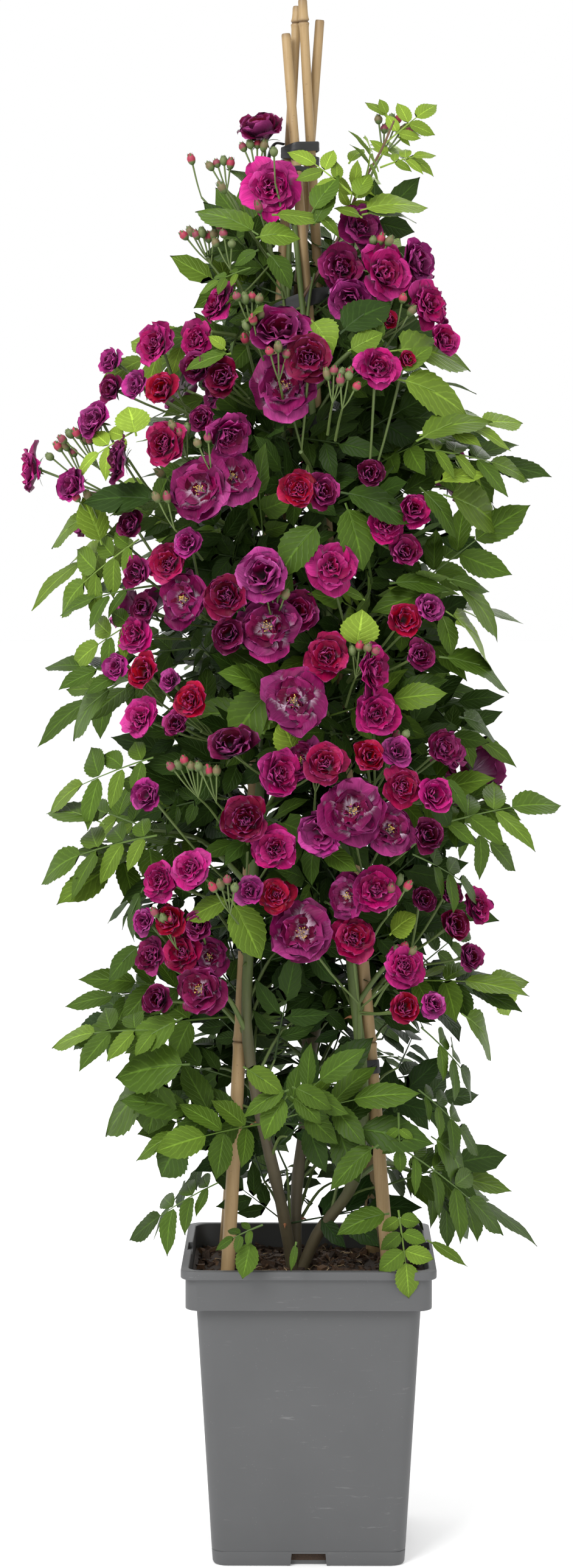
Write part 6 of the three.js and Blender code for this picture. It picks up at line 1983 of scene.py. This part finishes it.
@dataclass(frozen=True)
class TieModel:
    """Bands round a cane and a stem, or round all canes: closed hoops with a rounded section.

    Sizes are height, thickness and clearance. crossed: height over the crossing, size and tilt of each hoop
    of the strap. loop: the loose loop's points from the strap's left side. crease, wave: height and number
    of a hoop's creases and of its waves. section: the hoops' outline.
    """

    around: int = 56
    sharp: float = 50.0
    tape_size: tuple[float, float, float] = (12.0, 1.0, 0.5)
    band_size: tuple[float, float, float] = (14.0, 0.9, 2.2)
    band_tilt: float = 0.34
    crease: tuple[float, int] = (0.18, 5)
    wave: tuple[float, int] = (0.4, 2)
    crossed: tuple[tuple[float, tuple[float, float, float], float], ...] = (
        (4.5, (8.0, 1.5, 1.2), 0.16), (-4.0, (8.0, 1.5, 1.3), -0.2), (-15.0, (4.4, 1.3, 0.9), -0.06),
    )
    loop: tuple[tuple[float, float, float], ...] = (
        (2.5, -2, 8), (-5, -5, 8), (-10, -7, -2), (-11, -7, -18), (-8, -6, -27), (-4, -4, -17),
        (1.5, -1, -6),
    )
    loop_clear: float = 2.9
    loop_radius: float = 1.2
    loop_flat: float = 2.8
    section: tuple[tuple[float, float], ...] = (
        (0.0, -0.46), (0.2, -0.5), (0.8, -0.5), (1.0, -0.44), (1.06, -0.2), (0.98, 0.0), (1.06, 0.22),
        (1.0, 0.44), (0.8, 0.5), (0.2, 0.5), (0.0, 0.46), (0.06, 0.0),
    )

    def hoop(self, piece: Piece, circles: Sequence[tuple[np.ndarray, float]], z: float,
             size: tuple[float, float, float], lean: np.ndarray, tilt: float = 0.0) -> None:
        """Adds a hoop: in each direction it lies round the circle that reaches farthest.

        Args: circles: middles and radii. size: height, thickness and clearance. lean: shift per height.
        tilt: rise per length to the right.
        """
        height, thickness, clear = size
        angle = np.arange(self.around) * TURN / self.around
        ways = np.stack((np.cos(angle), np.sin(angle)), axis=1)
        middles = np.array([c[:2] for c, _ in circles])
        radii = np.array([r for _, r in circles])
        best = np.argmax(ways @ middles.T + radii[None], axis=1)
        out = np.array([s[0] for s in self.section]) * thickness + clear
        up = np.array([s[1] for s in self.section]) * height
        crease = self.crease[0] * np.sin(angle * self.crease[1] + z)[:, None] * (up[None] / height)
        reach = radii[best][:, None] + out[None] + crease
        flat = middles[best][:, None] + ways[:, None] * reach[..., None] + lean[:2] * up[None, :, None]
        rise = tilt * (flat[..., 0] - middles[:, 0].mean())
        tall = z + up[None] + self.wave[0] * np.sin(angle * self.wave[1] + z)[:, None] + rise
        points = np.concatenate((flat, tall[..., None]), axis=-1)
        grid = np.arange(points.shape[0] * points.shape[1]).reshape(points.shape[:2])
        wrapped = np.concatenate((grid, grid[:1]), axis=0)
        wrapped = np.concatenate((wrapped, wrapped[:, :1]), axis=1)
        piece.add(points.reshape(-1, 3), (quads(wrapped),), (0, 0, 0, 0))

    def tape(self, index: int, leader: int, z: float, finish: bpy.types.Material) -> bpy.types.Object:
        """Args: index: which tape. leader, z: where it ties. finish: the strap. Returns: the tape."""
        cane = CANES[LEADERS[leader].cane]
        axis, stem = cane_point(cane, z), on_leader(leader, z)
        lean = cane_point(cane, z + 1) - axis
        piece = Piece(f"tie_{index + 1}")
        circles = ((axis, cane_radius(z)), (stem, leader_radius(z)))
        self.hoop(piece, circles, z, self.tape_size, lean)
        out = unit(outward(bearing_of(stem - axis)) + np.array((0.4, -0.4, 0)))
        base = (axis + stem) / 2 + out * (cane_radius(z) + 1.0)
        self._loose_end(piece, base, out, index)
        return piece.make([finish], (f"tape_{index + 1}",), self.sharp)

    @staticmethod
    def _loose_end(piece: Piece, base: np.ndarray, out: np.ndarray, index: int) -> None:
        """Adds a short flat end that leaves a band and curls to one side."""
        side = np.cross(UP, out) * (1 if index % 2 else -1)
        drop = (-6, -2, 3, 5)[index % 4]
        middle = base + side * 9 + out * 4 + UP * drop * 0.4
        end = base + side * 13 + out * 6 + UP * drop
        path = smooth((base - side * 3, base + side * 3 + out, middle, end), 4)
        radii = np.linspace(0.55, 0.45, len(path))
        lift = rails(path[None])[0]
        flat = 7.0 if abs(float(lift[0, 0, 2])) > 0.5 else 1.0
        piece.add_bars(path[None], radii[None], 8, (0, 0, 0, 0), flat=flat)

    def strap(self, finish: bpy.types.Material) -> bpy.types.Object:
        """Args: finish: the strap. Returns: the wide strap, the thin band under it and the loose loop."""
        circles = [(cane_point(cane, CROSSING), cane_radius(CROSSING)) for cane in CANES]
        piece = Piece("crossing_strap")
        for height, size, tilt in self.crossed:
            self.hoop(piece, circles, CROSSING + height, size, np.zeros(3), tilt)
        left = min(float(c[0]) - r for c, r in circles) - self.loop_clear
        corner = np.array((left, float(circles[0][0][1]), CROSSING))
        path = smooth(corner + np.array(self.loop), 6)
        radii = np.full((1, len(path)), self.loop_radius)
        piece.add_bars(path[None], radii, 8, (0, 0, 0, 0), flat=self.loop_flat)
        return piece.make([finish], ("top_tie",), self.sharp)

    def wide_band(self, finish: bpy.types.Material) -> bpy.types.Object:
        """Args: finish: the strap. Returns: the wide slanting tape round all four canes."""
        z = CROSSING - WIDE_BAND_DROP
        circles = [(cane_point(cane, z), cane_radius(z)) for cane in CANES]
        piece = Piece("wide_band")
        self.hoop(piece, circles, z, self.band_size, np.zeros(3), self.band_tilt)
        return piece.make([finish], (), self.sharp)


@dataclass(frozen=True)
class StemModel:
    """The crown, the leading stems and their thorns, brown at the foot and green above.

    crown: heights and radii. wood: up to where each stem is brown, and over what length it turns green.
    ripple: share and length of the stems' waves. knot: height, spacing, middle and width of their swellings.
    thorn_turns: degrees from thorn to thorn and from stem to stem. thorn_ends: free length at both ends.
    thorn_tip, thorn_bend: how far out and down they lie.
    """

    sides: int = 14
    steps: int = 5
    sharp: float = 50.0
    crown: tuple[tuple[float, ...], ...] = ((200, 232, 250), (6.5, 9, 6.5))
    wood: tuple[tuple[float, ...], float] = ((430, 300, 640, 640), 130.0)
    ripple: tuple[float, float] = (0.05, 9.0)
    knot: tuple[float, float, float, float] = (0.5, 97, 48, 4)
    thorn_spacing: float = 48.0
    thorn_ends: tuple[float, float] = (60.0, 30.0)
    thorn_tip: tuple[float, float] = (6.5, 2.2)
    thorn_bend: tuple[float, float] = (3.0, 0.2)
    thorn_turns: tuple[float, float] = (137.5, 60.0)
    thorn_red: tuple[float, ...] = (0.30, 0.12, 0.05, 0)
    thorn_radii: tuple[float, ...] = (1.7, 1.7, 1.65, 1.35, 0.9, 0.5, 0.12)

    def build(self, finish: bpy.types.Material) -> bpy.types.Object:
        """Args: finish: the bark. Returns: the stems."""
        piece = Piece("climbing_stems")
        crown = smooth([(*CROWN[:2], z) for z in self.crown[0]], self.steps)
        radii = np.interp(crown[:, 2], *self.crown)
        piece.add_bars(crown[None], radii[None], self.sides, STEM_WOOD)
        high, spacing, middle, wide = self.knot
        for index, path in enumerate(LEADER_PATHS):
            fine = smooth(path, self.steps)
            z = fine[:, 2]
            radii = np.array([leader_radius(h) for h in z])
            radii = radii * (1 + self.ripple[0] * np.sin(z / self.ripple[1] + index))
            radii = radii + high * np.exp(-(((z % spacing) - middle) / wide) ** 2)
            piece.add_bars(fine[None], radii[None], self.sides, self._tint(z, index)[None])
        self._thorns(piece)
        return piece.make([finish], ("main_stems",), self.sharp)

    def _tint(self, z: np.ndarray, index: int) -> np.ndarray:
        """Returns: the bark's colour at heights: wood up to a height that depends on the stem."""
        share = np.clip((z - self.wood[0][index]) / self.wood[1], 0, 1)[:, None]
        return np.array(STEM_WOOD) * (1 - share) + np.array(STEM_GREEN) * share

    def _thorns(self, piece: Piece) -> None:
        """Adds curved thorns that stand off the stems on alternate sides and point down a little."""
        paths, tints = [], []
        for index, path in enumerate(LEADER_PATHS):
            low, high = path[0][2] + self.thorn_ends[0], path[-1][2] - self.thorn_ends[1]
            for i, z in enumerate(np.arange(low, high, self.thorn_spacing)):
                at = on_leader(index, z)
                out = outward(self.thorn_turns[0] * i + self.thorn_turns[1] * index)
                radius = leader_radius(z)
                tip = at + out * (radius + self.thorn_tip[0]) - UP * self.thorn_tip[1]
                bend = at + out * (radius + self.thorn_bend[0]) - UP * self.thorn_bend[1]
                paths.append(smooth((at + out * radius * 0.4, at + out * radius, bend, tip), 2))
                tints.append((self.thorn_red, STEM_GREEN)[i % 2])
        radii = np.tile(self.thorn_radii, (len(paths), 1))
        piece.add_bars(np.array(paths), radii, 7, np.array(tints))


# Tones of leaves: the least, what the rim of the bush adds (painted shade leaves the inside darker), what the
# height adds, the scatter, and the heights in question.
TONE = (0.03, 0.5, 0.26, 0.09)
TONE_HEIGHTS = (350.0, 850.0)
YOUNG_TONE = 0.92
STEM_TONE = 0.14

# What the fill may not hide from the front: canes and leading stems, each between two heights.
CANES_SHOWN = ((0, 250, 560), (1, 250, 330), (0, 1060, 1250), (1, 1060, 1250))
LEADERS_SHOWN = ((0, 300, 450), (2, 300, 470), (1, 290, 400))
SHOWN_RADII = (11.0, 8.0)
SHOWN_STEP = 12


def tone_at(leaf: Leaf, rng: np.random.Generator) -> float:
    """Returns: a leaf's tone: lighter higher up, and darker inside the bush than at its rim, as painted
    shade.
    """
    tip = leaf.base + leaf.way * leaf.size * 0.6
    radius = BUSH.radius(bearing_of(tip), float(tip[2]))
    rim = min(math.hypot(tip[0], tip[1]) / max(radius, 1), 1.1)
    high = (float(tip[2]) - TONE_HEIGHTS[0]) / TONE_HEIGHTS[1]
    # painted shade: leaves inside the bush get a darker tone than those at its rim
    tone = TONE[0] + TONE[1] * rim**2 + TONE[2] * high + rng.normal(0, TONE[3])
    return float(np.clip(tone, 0.02, 1))


@dataclass
class Foliage:
    """Leafy stems, the leaves that show at the front, and the fill of further leaves on twigs."""

    plan: Plan
    materials: Sequence[bpy.types.Material]
    seed: int = 5
    twigs: int = 170
    low: float = 318.0
    high: float = 1165.0
    golden: float = 137.508
    thin_below: float = 500.0
    narrow_above: float = 950.0
    reaches: tuple[tuple[float, float], ...] = ((0.2, 0.56), (0.1, 0.4))
    habit: LeafHabit = field(default_factory=lambda: LeafHabit((70.0, 118.0), 0.0, 2.5, 12, 0.3))
    leaves: int = 5
    fewer: int = 3
    groups: int = 6
    rises: tuple[float, float] = (15.0, 85.0)
    radii: tuple[float, float] = (1.7, 0.9)
    sway: float = 0.15
    teeth: int = 9
    fill_teeth: int = 4

    def __post_init__(self) -> None:
        """Prepares the draws, and the balls that no leaf of the fill may hide from the front."""
        self.rng = np.random.default_rng(self.seed)
        front = [bloom for spray in self.plan.sprays[: len(FRONT_SPRAYS)] for bloom in spray.blooms]
        balls = [(bloom.centre, bloom.radius * BLOOM_CORE) for bloom in front]
        for cane, low, high in CANES_SHOWN:
            balls += [(cane_point(CANES[cane], z), SHOWN_RADII[0]) for z in np.arange(low, high, SHOWN_STEP)]
        for leader, low, high in LEADERS_SHOWN:
            balls += [(on_leader(leader, z), SHOWN_RADII[1]) for z in np.arange(low, high, SHOWN_STEP)]
        self.eye = np.array((0.0, -DISTANCE, EYE_HEIGHT))
        lines = np.array([centre for centre, _ in balls]) - self.eye
        self.reach = np.linalg.norm(lines, axis=1)
        self.ways = lines / self.reach[:, None]
        self.wide = np.array([radius for _, radius in balls])

    def stems(self) -> None:
        """Builds a piece for each planned leafy stem and the young shoot."""
        for stem in self.plan.leafy:
            piece = Piece(f"{stem.name}_foliage")
            for leaf in stem.leaves:
                leaf.tone = YOUNG_TONE if stem.young else tone_at(leaf, self.rng) + STEM_TONE
            radii, tint = (YOUNG_RADIUS, STEM_RED) if stem.young else (STEM_RADIUS, STEM_GREEN)
            piece.add_stem(stem.path, 5, radii, 6, tint)
            self._dress(piece, stem.leaves, self.teeth)
            piece.make(self.materials, (stem.name,))

    def shown(self) -> None:
        """Builds the leaves that show at the front, each on the sight lines of its base and tip."""
        leaves = []
        for rule in SHOWN_LEAVES:
            y = front_depth(rule.column, rule.row, SHOWN_DEPTH[0])
            base = seen(rule.column, rule.row, y)
            outer = front_depth(rule.tip_column, rule.tip_row, SHOWN_DEPTH[1])
            way = seen(rule.tip_column, rule.tip_row, (y + outer) / 2) - base
            size = float(np.linalg.norm(way))
            way = way / size
            face = np.array((self.rng.normal(0, self.sway), -0.75, 0.75 + self.rng.normal(0, self.sway)))
            normal = unit(face - way * float(np.dot(face, way)))
            leaf = Leaf(base, way, normal, size, rule.pairs, rule.tone, rule.wide)
            self.plan.room.add(leaf.samples(), LEAF_ROOM)
            leaves.append(leaf)
        piece = Piece("shown_leaves")
        self._dress(piece, leaves, self.teeth)
        piece.make(self.materials)

    def _dress(self, piece: Piece, leaves: list[Leaf], teeth: int) -> None:
        """Adds leaves with their ribs to a piece, with a number of teeth a side."""
        if leaves:
            maker = LeafMaker(piece, self.rng, teeth)
            maker.leaflets(leaves)
            maker.ribs(leaves)

    def fill(self) -> None:
        """Builds the fill: twigs at the golden angle up the bush, with leaves where there is room."""
        groups: list[tuple[list[np.ndarray], list[Leaf]]] = [([], []) for _ in range(self.groups)]
        for i in range(self.twigs):
            share = (i + 0.5) / self.twigs
            z = self.low + (self.high - self.low) * share
            bearing = (i * self.golden) % 360
            leader = (1, 2, 3, 0)[int(bearing // 90)]
            rise = self.rng.uniform(*self.rises)
            reach = self.rng.uniform(*(self.reaches[0] if z < self.narrow_above else self.reaches[1]))
            path = stem_path(StemRule(leader, z - rise, bearing, z), reach)
            count = self.leaves if z > self.thin_below else self.leaves - self.fewer
            leaves = self.plan.grow(path, count, Draws(SEED_FILL + i), self.habit)
            leaves = [leaf for leaf in leaves if not self._covers(leaf)]
            if not leaves:
                continue
            for leaf in leaves:
                leaf.tone = tone_at(leaf, self.rng)
            twigs, kept = groups[int(share * self.groups)]
            twigs.append(path)
            kept += leaves
        for k, (twigs, leaves) in enumerate(groups):
            piece = Piece(f"inner_leaves_{k + 1}")
            for path in twigs:
                piece.add_stem(path, 5, self.radii, 6, STEM_GREEN)
            self._dress(piece, leaves, self.fill_teeth)
            piece.make(self.materials)
            LOG.info("%d leaves on %d twigs", len(leaves), len(twigs))

    def _covers(self, leaf: Leaf) -> bool:
        """Returns: whether a leaf hides a bloom, a cane or a stem that shows from the front."""
        spots = leaf.samples() - self.eye
        ahead = spots @ self.ways.T
        aside = np.sqrt(np.maximum((spots**2).sum(axis=1)[:, None] - ahead**2, 0))
        return bool(((aside < self.wide) & (ahead < self.reach)).any())


@dataclass
class Sprays:
    """The flowering sprays, their further blooms, and the fans of buds.

    Further blooms: share of blooms that have one, their least radius and most distance from the middle,
    lifts, tilts and sizes as ranges, and how far aside and behind they lie. Fans: their depth, how far their
    hub lies inwards, lower and back, its root, the stalk's radii, width for one bud and for each, scatter,
    droop and the buds' sizes.
    """

    plan: Plan
    materials: Sequence[bpy.types.Material]
    seed: int = 77
    least: float = 14.0
    share: float = 0.22
    within: float = 165.0
    lifts: tuple[float, float] = (-0.8, 0.8)
    tilts: tuple[float, float] = (0.5, 1.4)
    sizes: tuple[float, float] = (0.8, 1.0)
    aside: float = 1.2
    behind: float = 0.8
    fan_depth: float = 0.97
    fan_hub: tuple[float, float, float] = (0.12, 62.0, 0.95)
    fan_root: tuple[float, float] = (0.8, 26.0)
    fan_stalk: tuple[float, float] = (1.3, 0.9)
    fan_width: tuple[float, float] = (6.0, 2.2)
    fan_scatter: tuple[float, float] = (5.0, 3.0)
    fan_droop: float = 5.0
    fan_buds: tuple[float, float] = (0.62, 0.92)
    forms: tuple[Form, ...] = (F.CUP, F.OPEN)
    hues: tuple[Hue, ...] = (H.LILAC, H.MAGENTA, H.PURPLE, H.VIOLET, H.MAGENTA)

    def build(self) -> None:
        """Builds a piece for each spray: its side shoot, blooms and buds."""
        for index, spray in enumerate(self.plan.sprays):
            rng = np.random.default_rng(self.seed + index)
            piece = Piece(f"{spray.name}_blooms")
            piece.add_stem(spray.side, 5, LATERAL_RADIUS, 8, STEM_GREEN)
            maker = BloomMaker(piece, rng)
            for bloom in spray.blooms + self._companions(spray, rng):
                maker.petals(bloom)
                maker.calyx(bloom)
            for k, path in enumerate(spray.buds):
                maker.bud(path, BUD_TIPS[k % len(BUD_TIPS)])
            piece.make(self.materials, (spray.name,))

    def _companions(self, spray: Spray, rng: np.random.Generator) -> list[Bloom]:
        """Returns: a further bloom behind and beside some of the larger ones, turned away from them."""
        made = []
        for k, bloom in enumerate(spray.blooms):
            aside = unit(np.cross(UP, bloom.normal)) * rng.choice((-1.0, 1.0))
            way = unit(aside + UP * rng.uniform(*self.lifts))
            tilt, size = rng.uniform(*self.tilts), rng.uniform(*self.sizes)
            wanted = rng.uniform() < self.share
            behind = bloom.normal * bloom.radius * self.behind
            centre = bloom.centre + way * bloom.radius * self.aside - behind
            if wanted and bloom.radius > self.least and abs(centre[0]) < self.within:
                form, hue = self.forms[k % len(self.forms)], self.hues[k % len(self.hues)]
                normal = unit(bloom.normal + way * tilt)
                made.append(Bloom(centre, bloom.radius * size, normal, hue, form, bloom.start))
        return made

    def fans(self) -> None:
        """Builds the fans of buds: stalks that spread from one point, lower and farther in."""
        piece = Piece("bud_fans")
        rng = np.random.default_rng(self.seed - 1)
        maker = BloomMaker(piece, rng)
        for k, (column, row, count) in enumerate(BUD_FANS):
            y = front_depth(column, row, self.fan_depth)
            middle = seen(column, row, y)
            inward, lower, back = self.fan_hub
            hub = seen(column + (MIDDLE[0] - column) * inward, row + lower, y * back)
            share, drop = self.fan_root
            inner = np.array((hub[0] * share, hub[1] * share, hub[2] - drop))
            piece.add_stem((inner, (inner + hub) / 2 + UP * 2, hub), 3, self.fan_stalk, 6, STEM_GREEN)
            for i in range(count):
                spread = (i + 0.5) / count * 2 - 1 if count > 1 else 0.0
                across = spread * (self.fan_width[0] + self.fan_width[1] * count)
                deep, high = (rng.normal(0, scatter) for scatter in self.fan_scatter)
                tip = middle + np.array((across, deep, high - self.fan_droop * spread * spread))
                size = rng.uniform(*self.fan_buds)
                neck = tip - unit(tip - hub) * BUD_LENGTH * size
                maker.bud(np.array((hub, neck, neck, tip)), BUD_TIPS[(i + k) % len(BUD_TIPS)])
        piece.make(self.materials)


@dataclass(frozen=True)
class Studio:
    """A pale floor, soft lights, a pale sky and the camera."""

    floor: Colour = (0.88, 0.88, 0.88)
    glow: float = 0.13
    half: float = 30.0
    sky: Colour = (1.0, 1.0, 1.0)
    sky_strength: float = 1.0
    lights: tuple[tuple[str, Colour, Colour, float, float], ...] = (
        ("key", (-1.6, -2.6, 2.9), (0, 0, 0.8), 1.8, 120.0),
        ("fill", (2.6, -2.2, 1.6), (0, 0, 0.6), 2.6, 18.0),
        ("rim", (0.6, 2.8, 2.6), (0, 0, 0.8), 2.0, 26.0),
    )
    sensor: float = 36.0
    far: float = 60.0

    def build(self) -> None:
        """Makes the floor, the lights and the camera."""
        self._floor()
        world = bpy.data.worlds.new("studio")
        bpy.context.scene.world = world
        world.use_nodes = True
        background = world.node_tree.nodes["Background"]
        background.inputs["Color"].default_value = (*self.sky, 1.0)
        background.inputs["Strength"].default_value = self.sky_strength
        for name, place, target, size, power in self.lights:
            self._light(name, place, target, size, power)
        self._camera()
        view = bpy.context.scene.view_settings
        view.view_transform = "Standard"
        view.look = "None"

    def _floor(self) -> None:
        """Makes the floor, a broad plain plane."""
        mesh = bpy.data.meshes.new("floor")
        corners = [(x * self.half, y * self.half, 0) for x, y in SQUARE]
        mesh.from_pydata(corners, [], [(0, 1, 2, 3)])
        floor = bpy.data.objects.new("floor", mesh)
        g = Graph("studio_floor")
        mesh.materials.append(g.dress(self.floor, 0.7, Emission_Color=self.sky, Emission_Strength=self.glow))
        bpy.context.scene.collection.objects.link(floor)

    @staticmethod
    def _light(name: str, place: Colour, target: Colour, size: float, power: float) -> None:
        """Makes a square soft light that points at a target."""
        data = bpy.data.lights.new(name, "AREA")
        data.size = size
        data.energy = power
        light = bpy.data.objects.new(name, data)
        light.location = place
        way = np.array(target, float) - np.array(place, float)
        light.rotation_euler = (math.acos(-way[2] / float(np.linalg.norm(way))), 0.0,
                                math.atan2(way[1], way[0]) - TURN / 4)
        bpy.context.scene.collection.objects.link(light)

    def _camera(self) -> None:
        """Makes the camera, from the same numbers that placed the blooms."""
        data = bpy.data.cameras.new("camera")
        data.sensor_width = self.sensor
        data.lens = FOCAL * data.sensor_width / IMAGE_HEIGHT
        data.clip_end = self.far
        camera = bpy.data.objects.new("camera", data)
        camera.location = (0.0, -DISTANCE * MM, EYE_HEIGHT * MM)
        camera.rotation_euler = (TURN / 4 - DOWN, 0.0, LEFT)
        bpy.context.scene.collection.objects.link(camera)
        bpy.context.scene.camera = camera


def main() -> None:
    """Builds the piece round the frame."""
    logging.basicConfig(level=logging.INFO, format="%(name)s: %(message)s")
    plan = Plan()
    stem, leaf, petal = StemFinish().material(), LeafFinish().material(), PetalFinish().material()
    strap, bamboo = StrapFinish().material(), BambooFinish().material()
    PotModel().build(PlasticFinish())
    SoilModel().build(SoilFinish())
    for rule in CANES:
        CaneModel().build(rule, bamboo)
    StemModel().build(stem)
    ties = TieModel()
    ties.strap(strap)
    ties.wide_band(strap)
    for index, (leader, z) in enumerate(TAPES):
        ties.tape(index, leader, z, strap)
    sprays = Sprays(plan, (petal, stem))
    sprays.build()
    sprays.fans()
    foliage = Foliage(plan, (leaf, stem))
    foliage.stems()
    foliage.shown()
    foliage.fill()
    Studio().build()


if __name__ == "__main__":
    main()
